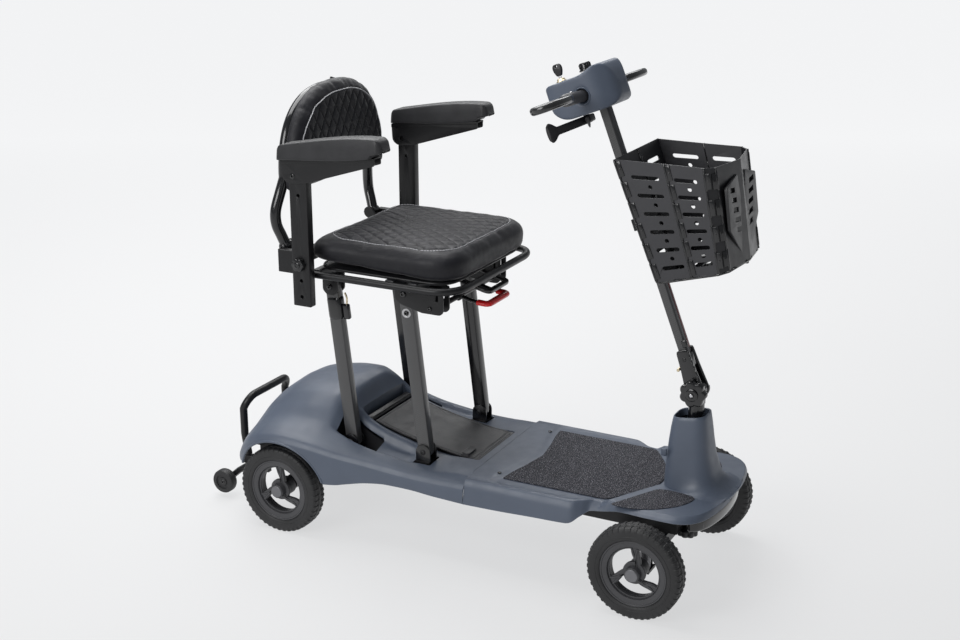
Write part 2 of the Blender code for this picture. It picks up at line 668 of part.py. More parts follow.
# ---- steering -----------------------------------------------------------------------------------
def make_steering():
    arm_end_y = STEER_Y + ARM_LENGTH
    stem = rod(0.0130, (0, STEER_Y, 0.1410), (0, STEER_Y, 0.3450), 16)
    arm = box((0.018, ARM_LENGTH + 0.014, 0.0080), (0, STEER_Y + ARM_LENGTH / 2, 0.1450))
    collar = rod(0.0240, (0, STEER_Y, 0.3303), (0, STEER_Y, 0.3450), 20)
    neck = rod(0.0165, (0, STEER_Y, 0.3440), (0, STEER_Y, 0.3930), 16)
    lug = rod(0.0180, (-0.0090, TILT_AXIS.y, TILT_AXIS.z), (0.0090, TILT_AXIS.y, TILT_AXIS.z), 20)
    web = box((0.0170, 0.0310, 0.0300), (0, STEER_Y, 0.4030))
    pin = rod(0.0040, (0, arm_end_y, 0.1280), (0, arm_end_y, 0.1450), 10)
    piece("steering_column", unite(stem, arm, collar, neck, lug, web, pin), "steering",
          "powder_coat")

    link_y = -AXLE_Y + ARM_LENGTH
    link = box((2 * KINGPIN_X, 0.0090, 0.0060), (0, link_y, TIE_ROD_Z))
    spine = box((0.014, link_y - arm_end_y + 0.018, 0.007),
                (0, (link_y + arm_end_y) / 2, TIE_ROD_Z - 0.0010))
    eyes = [rod(0.0085, (s * KINGPIN_X, link_y, 0.1310), (s * KINGPIN_X, link_y, 0.1390), 12)
            for s, _ in SIDES]
    holes = [rod(0.0043, (s * KINGPIN_X, link_y, 0.1200), (s * KINGPIN_X, link_y, 0.1500), 10)
             for s, _ in SIDES]
    holes.append(rod(0.0043, (0, arm_end_y, 0.1200), (0, arm_end_y, 0.1500), 10))
    piece("tie_rod", cut(unite(link, spine, *eyes), *holes), "tie_rod", "powder_coat")

    for side, label in SIDES:
        x = side * KINGPIN_X
        kingpin = rod(0.0110, (x, -AXLE_Y, 0.0845), (x, -AXLE_Y, 0.1355), 16)
        stub = rod(STUB_RADIUS, (x, -AXLE_Y, WHEEL_RADIUS),
                   (side * 0.2340, -AXLE_Y, WHEEL_RADIUS), 12)
        shoulder = rod(0.0100, (x, -AXLE_Y, WHEEL_RADIUS),
                       (side * 0.1930, -AXLE_Y, WHEEL_RADIUS), 12)
        steer_arm = box((0.014, ARM_LENGTH + 0.008, 0.0070), (x, -AXLE_Y + ARM_LENGTH / 2, 0.1268))
        ball = rod(0.0040, (x, link_y, 0.1260), (x, link_y, 0.1390), 10)
        piece("knuckle_" + label, unite(kingpin, stub, shoulder, steer_arm, ball),
              "knuckle_" + label, "powder_coat")


# ---- tiller -------------------------------------------------------------------------------------
def star_knob(centre, axis, radius, depth, lobes=8, bore=0.0):
    """A lobed clamping knob; its stem side faces against the axis."""
    outline = []
    steps = lobes * 4
    for i in range(steps):
        angle = 2 * math.pi * i / steps
        reach = radius * (0.90 + 0.10 * math.cos(lobes * angle))
        outline.append((reach * math.cos(angle), reach * math.sin(angle)))
    disc = plate(outline, depth, depth / 2, axis="Z")
    boss = rod(radius * 0.45, (0, 0, depth * 0.5), (0, 0, depth * 1.25), 14)
    knob = unite(disc, boss)
    if bore:
        knob = cut(knob, rod(bore, (0, 0, -0.01), (0, 0, depth * 0.6), 10))
    knob.transform(Matrix.Translation(centre) @ frame_of(axis))
    return cleaned(knob)


def make_tiller():
    cheek = 0.0185
    outline = arc((0.0, 0.0), 0.0205, 180, 360, 8) + [(0.0140, 0.0850), (-0.0140, 0.0850)]
    casting = plate(outline, 2 * cheek)
    casting.transform(Matrix.Translation(TILT_AXIS) @ TILLER_FRAME)
    mast = tiller_box((0.0260, 0.0180, TILLER_LENGTH - 0.0750), (TILLER_LENGTH + 0.0710) / 2, 0.0,
                      bevel=0.004)
    pin = rod(0.0065, (0.0180, TILT_AXIS.y, TILT_AXIS.z), (0.0260, TILT_AXIS.y, TILT_AXIS.z), 12)
    slot = tiller_box((0.0190, 0.0700, 0.0560), -0.0045, 0.0)
    piece("tiller_mast", cut(unite(casting, mast, pin), slot), "tiller", "powder_coat")
    knob_at = (-cheek - GAP, TILT_AXIS.y, TILT_AXIS.z)
    piece("tilt_knob", star_knob(knob_at, (-1, 0, 0), 0.0285, 0.0180), "tilt_knob",
          "black_plastic")


HEAD_SIDE = ((-0.0900, 0.0100), (-0.0820, -0.0020), (0.0400, -0.0020), (0.0560, 0.0060),
             (0.0590, 0.0240), (0.0560, 0.0660), (0.0500, 0.0780), (0.0400, 0.0820),
             (0.0280, 0.0790), (0.0100, 0.0725), (-0.0780, 0.0690), (-0.0860, 0.0640))
HEAD_PLAN = ((0.0, -0.0900), (0.0440, -0.0890), (0.0560, -0.0820), (0.0610, -0.0700),
             (0.0640, 0.0050), (0.0600, 0.0180), (0.0360, 0.0560), (0.0, 0.0600))


def make_head():
    """Tiller head: the side outline is (forward, up) and the plan is (x, forward)."""
    base = on_tiller(TILLER_LENGTH + 0.0030)
    side = plate([(-f, u) for f, u in HEAD_SIDE], 0.1400)
    plan = [(x, -f) for x, f in HEAD_PLAN] + [(-x, -f) for x, f in reversed(HEAD_PLAN[1:-1])]
    top = plate(plan, 0.2000, 0.0400, axis="Z")
    head = combine("INTERSECT", side, top)
    sockets = [rod(0.0145, (s * 0.0500, 0.0120, 0.0300), (s * 0.0700, 0.0120, 0.0300), 16)
               for s, _ in SIDES]
    barrel = rod(0.0080, (-0.0300, 0.0588, 0.0600), (-0.0300, 0.0588, 0.0790), 14)
    head = cut(unite(head, barrel), *sockets)
    pivot_bore = rod(0.0063, (0, -THROTTLE_FORWARD, -0.0200), (0, -THROTTLE_FORWARD, 0.0120), 12)
    dial_bore = rod(0.0043, (0, 0.0143, 0.0600), (0, 0.0143, 0.0900), 10)
    key_bore = rod(0.0043, (-0.0300, 0.0588, 0.0630), (-0.0300, 0.0588, 0.0830), 12)
    head = cut(head, pivot_bore, dial_bore, key_bore)
    head.transform(Matrix.Translation(base) @ TILLER_FRAME)
    piece("tiller_head", cleaned(head), "tiller", "slate_plastic")


def head_point(x, forward, up):
    """A point in the head's own frame."""
    return on_tiller(TILLER_LENGTH + 0.0030 + up, forward, x)


def make_handlebars():
    """A loop grip on each side, on a stem out of the head's socket."""
    for side, label in SIDES:
        loop = []
        for i in range(24):
            angle = 2 * math.pi * i / 24
            reach = math.copysign(abs(math.cos(angle)) ** 0.8, math.cos(angle))
            width = math.copysign(abs(math.sin(angle)) ** 0.8, math.sin(angle))
            loop.append(head_point(side * (0.1960 + 0.0590 * reach), -0.0160 + 0.0210 * width,
                                   0.0330))
        stem = rod(0.0125, head_point(side * 0.0515, -0.0120, 0.0300),
                   head_point(side * 0.1400, -0.0160, 0.0330), 16)
        piece("handlebar_" + label, unite(tube(loop, 0.0088, True), stem), "tiller",
              "black_plastic")


def make_controls():
    """Wig-wag throttle under the head, ignition key and speed dial on top."""
    pivot = head_point(0, THROTTLE_FORWARD, 0)
    solids = [rod(0.0060, pivot - TILLER_UP * 0.0240, pivot + TILLER_UP * 0.0100, 12)]
    solids.append(tiller_box((0.0300, 0.0240, 0.0140), TILLER_LENGTH - 0.0140, THROTTLE_FORWARD,
                             bevel=0.003))
    for side, _ in SIDES:
        arm = [head_point(0, THROTTLE_FORWARD, -0.0170),
               head_point(side * 0.0300, THROTTLE_FORWARD - 0.0080, -0.0170),
               head_point(side * 0.0800, -0.0830, -0.0190)]
        solids.append(tube(arm, 0.0050))
        solids.append(tiller_box((0.0150, 0.0220, 0.0300), TILLER_LENGTH - 0.0180, -0.0850,
                                 side * 0.0850, 0.004))
    piece("throttle_lever", unite(*solids), "throttle", "black_plastic")

    blade = tiller_box((0.0020, 0.0070, 0.0200), TILLER_LENGTH + 0.0030 + 0.0740, -0.0588, -0.0300)
    bow = tiller_box((0.0085, 0.0190, 0.0230), TILLER_LENGTH + 0.0030 + 0.0930, -0.0588, -0.0300,
                     0.003)
    piece("ignition_key", unite(blade, bow), "ignition_key", "black_plastic")

    dial_foot = head_point(0, -0.0143, 0.0630)
    dial_face = head_point(0, -0.0143, 0.0742)
    skirt = rod(0.0115, dial_face, dial_face + TILLER_UP * 0.0040, 20)
    grip = rod(0.0090, dial_face + TILLER_UP * 0.0035, dial_face + TILLER_UP * 0.0150, 12)
    stalk = rod(0.0040, dial_foot, dial_face + TILLER_UP * 0.0020, 10)
    piece("speed_dial", unite(skirt, grip, stalk), "speed_dial", "black_plastic")


# ---- basket -------------------------------------------------------------------------------------
BASKET_TOP_Z = 0.9000
BASKET_TOP = ((0.1160, -0.3130), (0.1130, -0.4130), (0.1160, -0.4920), (0.1070, -0.5080),
              (0.0, -0.5310))
BASKET_BOTTOM = ((0.1100, -0.4070), (0.1080, -0.4765), (0.1080, -0.5290), (0.0990, -0.5440),
                 (0.0, -0.5610))


def basket_floor_z(y):
    """The floor of the basket is square to the tiller, so it climbs towards the front."""
    return 0.6620 + 0.27 * (-0.4070 - y)


def basket_ring(outline, heights, inset):
    half = [(x, y, heights(y)) for x, y in outline]
    ring = half + [(-x, y, z) for x, y, z in reversed(half[:-1])]
    middle = sum(y for _, y, _ in ring) / len(ring)
    narrow = 1 - inset / 0.110
    return [(x * narrow, middle + (y - middle) * narrow, z) for x, y, z in ring]


def make_basket():
    wall = 0.0030
    outer = loft([basket_ring(BASKET_BOTTOM, basket_floor_z, 0.0),
                  basket_ring(BASKET_TOP, lambda y: BASKET_TOP_Z, 0.0)])
    core = loft([basket_ring(BASKET_BOTTOM, lambda y: basket_floor_z(y) + wall, wall),
                 basket_ring(BASKET_TOP, lambda y: BASKET_TOP_Z + 0.001, wall)])
    hooks = [tiller_box((0.0160, 0.0060, 0.0300), 0.4240, 0.0330, side * 0.0300)
             for side, _ in SIDES]
    piece("basket", unite(cut(outer, core), *hooks), "basket", "black_plastic")

    arm = [(0.0150, 0.8780), (0.0560, 0.8640), (0.0560, 0.7900), (0.0, 0.7150)]
    outline = arm + [(-x, z) for x, z in reversed(arm[:-1])] + [(0.0, 0.8000)]
    lamp = plate(outline, 0.0080, axis="Z")
    stand = Matrix(((1, 0, 0, 0), (0, 0, -1, 0), (0, 1, 0, 0), (0, 0, 0, 1)))
    lean = Matrix.Rotation(math.radians(-8.0), 4, "X")
    lamp.transform(stand)
    lamp.transform(Matrix.Translation((0, -0.5430, 0.8780)) @ lean
                   @ Matrix.Translation((0, 0, -0.8780)))
    piece("basket_lamp", cleaned(lamp), "basket", "black_plastic")


def make_basket_bracket():
    """Plate on the front of the mast with two hooks that the basket hangs on."""
    back = tiller_box((0.0900, 0.0080, 0.1300), 0.3800, 0.0140)
    clamp = tiller_box((0.0340, 0.0330, 0.0240), 0.3600, 0.0)
    clamp_hole = tiller_box((0.0266, 0.0186, 0.0500), 0.3600, 0.0)
    hooks = []
    for side, _ in SIDES:
        hooks.append(tiller_box((0.0200, 0.0150, 0.0060), 0.4060, 0.0220, side * 0.0300))
        hooks.append(tiller_box((0.0200, 0.0040, 0.0120), 0.4090, 0.0260, side * 0.0300))
    bracket = unite(back, clamp, *hooks)
    mast_room = tiller_box((0.0266, 0.0186, 0.2000), 0.3800, 0.0)
    piece("basket_bracket", cut(bracket, clamp_hole, mast_room), "tiller", "powder_coat")


# ---- seat ---------------------------------------------------------------------------------------
def make_leg(name, foot, side, body):
    """One flat tube leg with round ends, between its foot and the seat bracket."""
    top = foot + LEG_RISE
    direction = LEG_RISE.normalized()
    angle = math.degrees(math.atan2(direction.z, direction.y))
    r = LEG_DEPTH / 2
    outline = arc((foot.y, foot.z), r, angle + 90, angle + 270, 6)
    outline += arc((top.y, top.z), r, angle - 90, angle + 90, 6)
    piece(name, plate(outline, LEG_WIDTH, side * LEG_X, 0.0025), body, "powder_coat")


def seat_plates():
    """Hanger plates under the seat, two for each leg."""
    front = [(0.1600, 0.6000), (0.1600, 0.5640), (0.1480, 0.5540), (0.0960, 0.5410),
             (0.0520, 0.5410), (0.0450, 0.5480), (0.0450, 0.6000)]
    rear = [(0.3400, 0.6000), (0.3400, 0.5590), (0.3300, 0.5490), (0.3120, 0.5490),
            (0.3020, 0.5600), (0.3020, 0.6000)]
    solids = []
    for side, _ in SIDES:
        for offset in (-EAR_X, EAR_X):
            x = side * LEG_X + offset
            solids.append(plate(front, EAR_THICKNESS, x))
            solids.append(plate(rear, EAR_THICKNESS, x))
        outer = side * (LEG_X + EAR_X + 0.001)
        for y, z in ((FRONT_FOOT.y + LEG_RISE.y, FRONT_FOOT.z + LEG_RISE.z),
                     (REAR_FOOT.y + LEG_RISE.y, REAR_FOOT.z + LEG_RISE.z), (0.0600, 0.5570)):
            solids.append(rod(0.0055, (outer, y, z), (outer + side * 0.0045, y, z), 10))
    return solids


def make_seat_frame():
    """Hoop of tube under the cushion, a pan, cross bars, hanger plates and a fixed grip."""
    x, front, rear, r = CUSHION_X, -0.0050, 0.3605, 0.070
    hoop = [(x, rear)] + arc((x - r, front + r), r, 0, -90, 6)
    hoop = [(px, py, HOOP_Z) for px, py in hoop]
    hoop += [(-px, py, pz) for px, py, pz in reversed(hoop)]
    solids = [tube(hoop, HOOP_RADIUS)]
    pan_z = HOOP_Z + HOOP_RADIUS + 0.0020
    solids.append(plate(rounded_outline(0.1880, 0.0050, 0.3400, 0.050), 0.0040, pan_z + 0.0020,
                        axis="Z"))
    for y in (0.0900, 0.1450, 0.3210):
        solids.append(box((0.3900, 0.0200, 0.0190), (0, y, HOOP_Z + 0.0015)))
    solids += seat_plates()
    grip = [(0.045, 0.088, 0.604), (0.045, 0.030, 0.584), (0.045, 0.000, 0.576),
            (0.036, -0.009, 0.574), (-0.036, -0.009, 0.574), (-0.045, 0.000, 0.576),
            (-0.045, 0.030, 0.584), (-0.045, 0.088, 0.604)]
    solids.append(tube(grip, 0.0045))
    piece("seat_frame", unite(*solids), "seat", "powder_coat")


def make_seat_cushion():
    outline = rounded_outline(CUSHION_X, CUSHION_FRONT, CUSHION_REAR, 0.070)
    thickness = CUSHION_TOP - CUSHION_BOTTOM
    centre = (CUSHION_TOP + CUSHION_BOTTOM) / 2
    piece("seat_cushion", plate(outline, thickness, centre, 0.012, axis="Z"), "seat", "vinyl")


def make_release_lever():
    """Red squeeze handle on a cross shaft; pulling it up frees the folding lock."""
    inner = LEG_X - EAR_X - EAR_THICKNESS / 2 - 0.001
    shaft = rod(0.0060, (-inner, LEVER_AXIS.y, LEVER_AXIS.z), (inner, LEVER_AXIS.y, LEVER_AXIS.z),
                12)
    bail = [(0.050, 0.060, 0.557), (0.050, 0.028, 0.549), (0.050, -0.006, 0.546),
            (0.040, -0.017, 0.545), (-0.040, -0.017, 0.545), (-0.050, -0.006, 0.546),
            (-0.050, 0.028, 0.549), (-0.050, 0.060, 0.557)]
    piece("release_lever", unite(shaft, tube(bail, 0.0055)), "release_lever", "red_plastic")


def make_crossbar():
    """Square tube behind the seat that carries the armrests and the backrest hinge."""
    bar = box((2 * 0.2118, 0.0250, 0.0250), (0, CROSSBAR_Y, CROSSBAR_Z), 0.002)
    solids = []
    for side, _ in SIDES:
        solids.append(box((0.0160, 0.0470, 0.0500), (side * 0.2040, 0.3845, CROSSBAR_Z), 0.002))
        ear = [(0.3850, 0.6200), (0.4080, 0.6400)] + arc((BACK_AXIS.y, BACK_AXIS.z), 0.0130, -60,
                                                         120, 6) + [(0.3850, 0.6440)]
        solids.append(plate(ear, 0.0060, side * 0.1600))
        solids.append(rod(0.0045, (side * 0.1590, BACK_AXIS.y, BACK_AXIS.z),
                          (side * 0.1860, BACK_AXIS.y, BACK_AXIS.z), 10))
    piece("seat_crossbar", unite(bar, *solids), "seat", "powder_coat")


def make_backrest():
    """Arched tube hinged at its two feet, and a D-shaped pad on its front."""
    side = [(BACK_HALF_WIDTH, 0.4080, 0.6550), (BACK_HALF_WIDTH, 0.4140, 0.6800),
            (BACK_HALF_WIDTH, 0.4210, 0.7080), (BACK_HALF_WIDTH, 0.4230, 0.7400),
            (BACK_HALF_WIDTH, 0.4200, 0.7750)]
    arch = [(x, BACK_TUBE_Y, z) for x, z in arc((0, BACK_ARCH_Z), BACK_HALF_WIDTH, 0, 90, 7)]
    half = side + arch
    path = half + [(-x, y, z) for x, y, z in reversed(half[:-1])]
    hoop = tube(path, BACK_TUBE_RADIUS)
    feet = [rod(0.0120, (s * 0.1660, BACK_AXIS.y, BACK_AXIS.z),
                (s * 0.1890, BACK_AXIS.y, BACK_AXIS.z), 16) for s, _ in SIDES]
    holes = [rod(0.0048, (s * 0.1500, BACK_AXIS.y, BACK_AXIS.z),
                 (s * 0.1870, BACK_AXIS.y, BACK_AXIS.z), 10) for s, _ in SIDES]
    piece("backrest_frame", cut(unite(hoop, *feet), *holes), "backrest", "powder_coat")

    outline = arc((0, BACK_ARCH_Z), BACK_PAD_RADIUS, 0, 180, 16)
    outline += arc((-0.1650, 0.8000), 0.0250, 180, 270, 3) + arc((0.1650, 0.8000), 0.0250, 270,
                                                                 360, 3)
    front, back = 0.3670, BACK_TUBE_Y - BACK_TUBE_RADIUS - GAP
    pad = plate(outline, back - front, 0.0, 0.010, axis="Z")
    stand = Matrix(((1, 0, 0, 0), (0, 0, -1, 0), (0, 1, 0, 0), (0, 0, 0, 1)))
    pad.transform(Matrix.Translation((0, (front + back) / 2, 0)) @ stand)
    piece("backrest_pad", cleaned(pad), "backrest", "vinyl")


def make_armrests():
    for side, label in SIDES:
        x = side * UPRIGHT_X
        upright = box((UPRIGHT_WIDTH, UPRIGHT_DEPTH, 0.2930), (x, UPRIGHT_Y, 0.6915), 0.002)
        bolt = rod(0.0050, (side * 0.2100, ARM_PIVOT.y, ARM_PIVOT.z),
                   (side * 0.2352, ARM_PIVOT.y, ARM_PIVOT.z), 10)
        piece("armrest_post_" + label, unite(upright, bolt), "armrest_post_" + label,
              "powder_coat")

        outline = [(0.3720, 0.8575), (0.1490, 0.8800), (0.1490, 0.8640), (0.3150, 0.8120),
                   (0.3560, 0.8080), (0.3700, 0.8180)]
        channel = plate(outline, 0.0290, x)
        room = box((0.0216, 0.2300, 0.0900), (x, 0.2900, 0.8045))
        hole = rod(0.0054, (side * 0.2000, ARM_PIVOT.y, ARM_PIVOT.z),
                   (side * 0.2450, ARM_PIVOT.y, ARM_PIVOT.z), 10)
        channel = cut(channel, room, hole)
        piece("armrest_bracket_" + label, channel, "armrest_" + label, "powder_coat")

        pad = [(0.3740, 0.8582), (0.3680, 0.8885), (0.3560, 0.8925), (0.1450, 0.9205),
               (0.1250, 0.9200), (0.1080, 0.9040), (0.1080, 0.8960), (0.1480, 0.8810)]
        piece("armrest_pad_" + label, plate(pad, 0.0480, side * 0.2290, 0.004),
              "armrest_" + label, "black_plastic")

        knob_at = (side * (0.2326 + GAP), 0.3380, 0.6370)
        piece("armrest_knob_" + label, star_knob(knob_at, (side, 0, 0), 0.0150, 0.0110, 6),
              "armrest_knob_" + label, "black_plastic")


def make_chassis_knobs():
    """Knobs under the nose that clamp the front half to the frame."""
    for side, label in SIDES:
        at = (side * 0.0840, -0.4830, 0.1496)
        piece("chassis_knob_" + label, star_knob(at, (0, 0, -1), 0.0220, 0.0150),
              "chassis_knob_" + label, "black_plastic")


# ---- assembly -----------------------------------------------------------------------------------
def add_bodies():
    """One empty for each moving body, on its joint's axis."""
    add_body("chassis", (0, 0, 0))
    add_body("steering", (0, STEER_Y, 0.2400), "chassis")
    add_body("tie_rod", (0, STEER_Y + ARM_LENGTH, TIE_ROD_Z), "steering")
    add_body("tiller", TILT_AXIS, "steering")
    add_body("tilt_knob", TILT_AXIS, "tiller")
    add_body("throttle", head_point(0, THROTTLE_FORWARD, 0), "tiller")
    add_body("ignition_key", head_point(-0.0300, -0.0588, 0.0790), "tiller")
    add_body("speed_dial", head_point(0, -0.0143, 0.0742), "tiller")
    add_body("basket", on_tiller(0.4060, 0.0220), "tiller")
    add_body("battery", (0, 0.1200, 0.1750), "chassis")
    add_body("battery_latch", (-0.0480, 0.0330, 0.2072), "battery")
    add_body("front_legs", FRONT_FOOT, "chassis")
    add_body("rear_legs", REAR_FOOT, "chassis")
    add_body("seat", FRONT_FOOT + LEG_RISE, "front_legs")
    add_body("release_lever", LEVER_AXIS, "seat")
    add_body("backrest", BACK_AXIS, "seat")
    for side, label in SIDES:
        add_body("knuckle_" + label, (side * KINGPIN_X, -AXLE_Y, 0.1100), "chassis")
        add_body("front_wheel_" + label, (side * FRONT_WHEEL_X, -AXLE_Y, WHEEL_RADIUS),
                 "knuckle_" + label)
        add_body("rear_wheel_" + label, (side * REAR_WHEEL_X, AXLE_Y, WHEEL_RADIUS), "chassis")
        add_body("anti_tip_wheel_" + label, (side * 0.1265, 0.6490, 0.0385), "chassis")
        add_body("chassis_knob_" + label, (side * 0.0840, -0.4830, 0.1490), "chassis")
        add_body("armrest_post_" + label, (side * UPRIGHT_X, UPRIGHT_Y, CROSSBAR_Z), "seat")
        add_body("armrest_" + label, mirrored((UPRIGHT_X, ARM_PIVOT.y, ARM_PIVOT.z), side),
                 "armrest_post_" + label)
        add_body("armrest_knob_" + label, (side * 0.2326, 0.3380, 0.6370), "seat")


def main():
    add_bodies()
    make_chassis()
    make_front_beam()
    make_transaxle()
    make_controller()
    make_rear_handle()
    make_anti_tip_bar()
    make_bumper()
    make_floor_shell()
    make_shroud()
    make_floor_mat()
    make_cowl()
    make_battery()
    make_wheels()
    make_steering()
    make_tiller()
    make_head()
    make_handlebars()
    make_controls()
    make_basket()
    make_basket_bracket()
    for side, label in SIDES:
        make_leg("front_leg_" + label, FRONT_FOOT, side, "front_legs")
        make_leg("rear_leg_" + label, REAR_FOOT, side, "rear_legs")
    make_seat_frame()
    make_seat_cushion()
    make_release_lever()
    make_crossbar()
    make_backrest()
    make_armrests()
    make_chassis_knobs()


for old in list(bpy.data.objects):
    bpy.data.objects.remove(old)
PARTS = new_collection("mobility_scooter")
MATERIALS = {finish: make_material(finish) for finish in COLOURS}
SCOOTER = bpy.data.objects.new("scooter", None)
PARTS.objects.link(SCOOTER)
SCOOTER.location = (0.0, -CENTRE_Y, 0.0)
main()
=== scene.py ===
"""Looks of the folding mobility scooter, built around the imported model.

Lengths are metres. Pieces are modelled in scooter coordinates (origin on the ground under the middle
of the wheelbase, forward -Y, the rider's right -X), and add() moves them into the frame's coordinates.
"""
import math

import bmesh
import bpy
from mathutils import Matrix, Vector
from mathutils.bvhtree import BVHTree


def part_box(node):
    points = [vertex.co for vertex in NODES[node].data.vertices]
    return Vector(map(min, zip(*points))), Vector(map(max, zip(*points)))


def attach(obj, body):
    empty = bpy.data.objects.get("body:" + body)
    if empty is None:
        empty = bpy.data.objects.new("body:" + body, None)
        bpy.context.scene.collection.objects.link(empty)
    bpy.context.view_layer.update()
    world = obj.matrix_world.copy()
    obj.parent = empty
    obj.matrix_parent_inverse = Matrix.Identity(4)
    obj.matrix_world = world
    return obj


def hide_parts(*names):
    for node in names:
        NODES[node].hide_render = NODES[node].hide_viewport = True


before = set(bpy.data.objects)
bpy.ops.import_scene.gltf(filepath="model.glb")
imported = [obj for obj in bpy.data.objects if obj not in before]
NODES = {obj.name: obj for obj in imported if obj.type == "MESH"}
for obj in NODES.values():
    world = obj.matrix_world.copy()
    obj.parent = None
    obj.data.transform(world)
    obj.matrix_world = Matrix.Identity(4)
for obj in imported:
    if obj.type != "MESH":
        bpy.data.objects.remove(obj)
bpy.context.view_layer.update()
SIDES = ((-1, "right"), (1, "left"))

# ---- dimensions that several pieces share ---------------------------------------------------------
AXLE_Y = 0.4247
WHEEL_RADIUS = 0.100
FRONT_WHEEL_X = 0.2165
REAR_WHEEL_X = 0.2085
KINGPIN_X = 0.1650
DECK_Z = 0.203
STEER_Y = -0.4620
TILT_AXIS = Vector((0.0, -0.4630, 0.4180))
RAKE = math.radians(21.3)
TILLER_UP = Vector((0.0, math.sin(RAKE), math.cos(RAKE)))
TILLER_FORWARD = Vector((0.0, -math.cos(RAKE), math.sin(RAKE)))
HEAD_BASE = 0.606                # distance of the head's underside up the tiller
LEG_X = 0.1320
FRONT_FOOT = Vector((0.0, 0.0976, 0.2258))
REAR_FOOT = Vector((0.0, 0.2800, 0.2166))
LEG_RISE = Vector((0.0, 0.0420, 0.3505))
EAR_OFFSET = 0.0135
HOOP_Z = 0.6070
BACK_AXIS = Vector((0.0, 0.4080, 0.6550))
UPRIGHT_X = 0.2226
ARM_PIVOT = Vector((0.0, 0.3450, 0.8250))


def middle(node):
    """Middle of a CAD node's box."""
    low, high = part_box(node)
    return (low + high) / 2


SHIFT = Vector((0.0, (middle("tyre_front_left").y + middle("tyre_rear_left").y) / 2, 0.0))


# ---- numbers and lines --------------------------------------------------------------------------
def clamp(value, low=0.0, high=1.0):
    return max(low, min(high, value))


def ramp(value, low, high):
    """Smooth rise from 0 at low to 1 at high."""
    t = clamp((value - low) / (high - low))
    return t * t * (3 - 2 * t)


def mix(a, b, t):
    return a + (b - a) * t


def monotone(xs, ys, x):
    """Smooth curve through a table that never overshoots its points."""
    if x <= xs[0]:
        return ys[0]
    if x >= xs[-1]:
        return ys[-1]
    i = max(k for k in range(len(xs) - 1) if xs[k] <= x)
    slopes = [(ys[k + 1] - ys[k]) / (xs[k + 1] - xs[k]) for k in range(len(xs) - 1)]

    def tangent(k):
        if k in (0, len(xs) - 1):
            return slopes[0] if k == 0 else slopes[-1]
        before, after = slopes[k - 1], slopes[k]
        return 0.0 if before * after <= 0 else 2 * before * after / (before + after)

    width = xs[i + 1] - xs[i]
    t = (x - xs[i]) / width
    return (ys[i] * (1 + 2 * t) * (1 - t) ** 2 + width * tangent(i) * t * (1 - t) ** 2
            + ys[i + 1] * t * t * (3 - 2 * t) + width * tangent(i + 1) * t * t * (t - 1))


def through(points, x):
    """Smooth curve through (x, y) points."""
    return monotone(*zip(*points), x)


def arc(centre, radius, start, end, steps=12):
    """Points of an arc, angles in degrees."""
    angles = [math.radians(mix(start, end, i / steps)) for i in range(steps + 1)]
    return [Vector((centre[0] + radius * math.cos(a), centre[1] + radius * math.sin(a)))
            for a in angles]


def rounded(corners, radius, closed=True, steps=6):
    """A line with its corners rounded. A corner may carry its own radius as (point, radius)."""
    points = []
    for corner in corners:
        own = isinstance(corner, tuple) and isinstance(corner[0], (tuple, Vector))
        points.append((Vector(corner[0]), corner[1]) if own else (Vector(corner), radius))
    count = len(points)
    line = []
    for i, (point, reach) in enumerate(points):
        if not closed and i in (0, count - 1):
            line.append(point)
            continue
        before, after = points[i - 1][0] - point, points[(i + 1) % count][0] - point
        size = min(reach, 0.48 * before.length, 0.48 * after.length)
        a, b = point + before.normalized() * size, point + after.normalized() * size
        for k in range(steps + 1):
            t = k / steps
            line.append(a * (1 - t) ** 2 + point * (2 * t * (1 - t)) + b * t * t)
    return line


def box_line(low, high, radius, steps=6):
    """A rectangle with rounded corners."""
    return rounded(((low[0], low[1]), (high[0], low[1]), (high[0], high[1]), (low[0], high[1])), radius,
                   steps=steps)


def divided(outline, step):
    """A closed outline with points at least every step."""
    dense = []
    for a, b in zip(outline, outline[1:] + outline[:1]):
        count = max(1, int((b - a).length / step))
        dense += [a.lerp(b, k / count) for k in range(count)]
    return dense


def turns(count):
    """Even angles round a circle."""
    return [2 * math.pi * i / count for i in range(count)]


def oval(width, height, count=20):
    return [(width * math.cos(a), height * math.sin(a)) for a in turns(count)]


def bar_section(half_width, half_height, flat=0.8):
    """Section of a flat bar with cut corners. Flat is the share of the height left straight."""
    corners = ((-1, -flat), (-.8, -1), (.8, -1), (1, -flat), (1, flat), (.8, 1), (-.8, 1), (-1, flat))
    return [(a * half_width, b * half_height) for a, b in corners]


def signed(value, power):
    return math.copysign(abs(value) ** power, value)


def flowing(points, steps=6, closed=False):
    """A smooth curve through every point."""
    points = [Vector(p) for p in points]
    count = len(points)
    line = []
    for i in range(count if closed else count - 1):
        a, b, c, d = (points[k % count] if closed else points[max(0, min(count - 1, k))]
                      for k in (i - 1, i, i + 1, i + 2))
        for k in range(steps):
            t = k / steps
            line.append((b * 2 + (c - a) * t + (a * 2 - b * 5 + c * 4 - d) * t * t
                         + (b * 3 - a - c * 3 + d) * t ** 3) / 2)
    if not closed:
        line.append(points[-1])
    return line


def both_sides(half):
    """A half line that starts on the middle plane, after its reflection."""
    return [Vector((-p[0], *p[1:])) for p in reversed(half[1:])] + half


def mirrored(half):
    """A half outline with its reflection in x = 0, the first and last points on the axis or off it."""
    other = [Vector((-p[0], *p[1:])) for p in reversed(half) if abs(p[0]) > 1e-6]
    return [Vector(p) for p in half] + other


def returned(half):
    """A path with its reflection in x = 0 after it."""
    points = [Vector(p) for p in half]
    return points + [Vector((-p.x, p.y, p.z)) for p in reversed(points)]


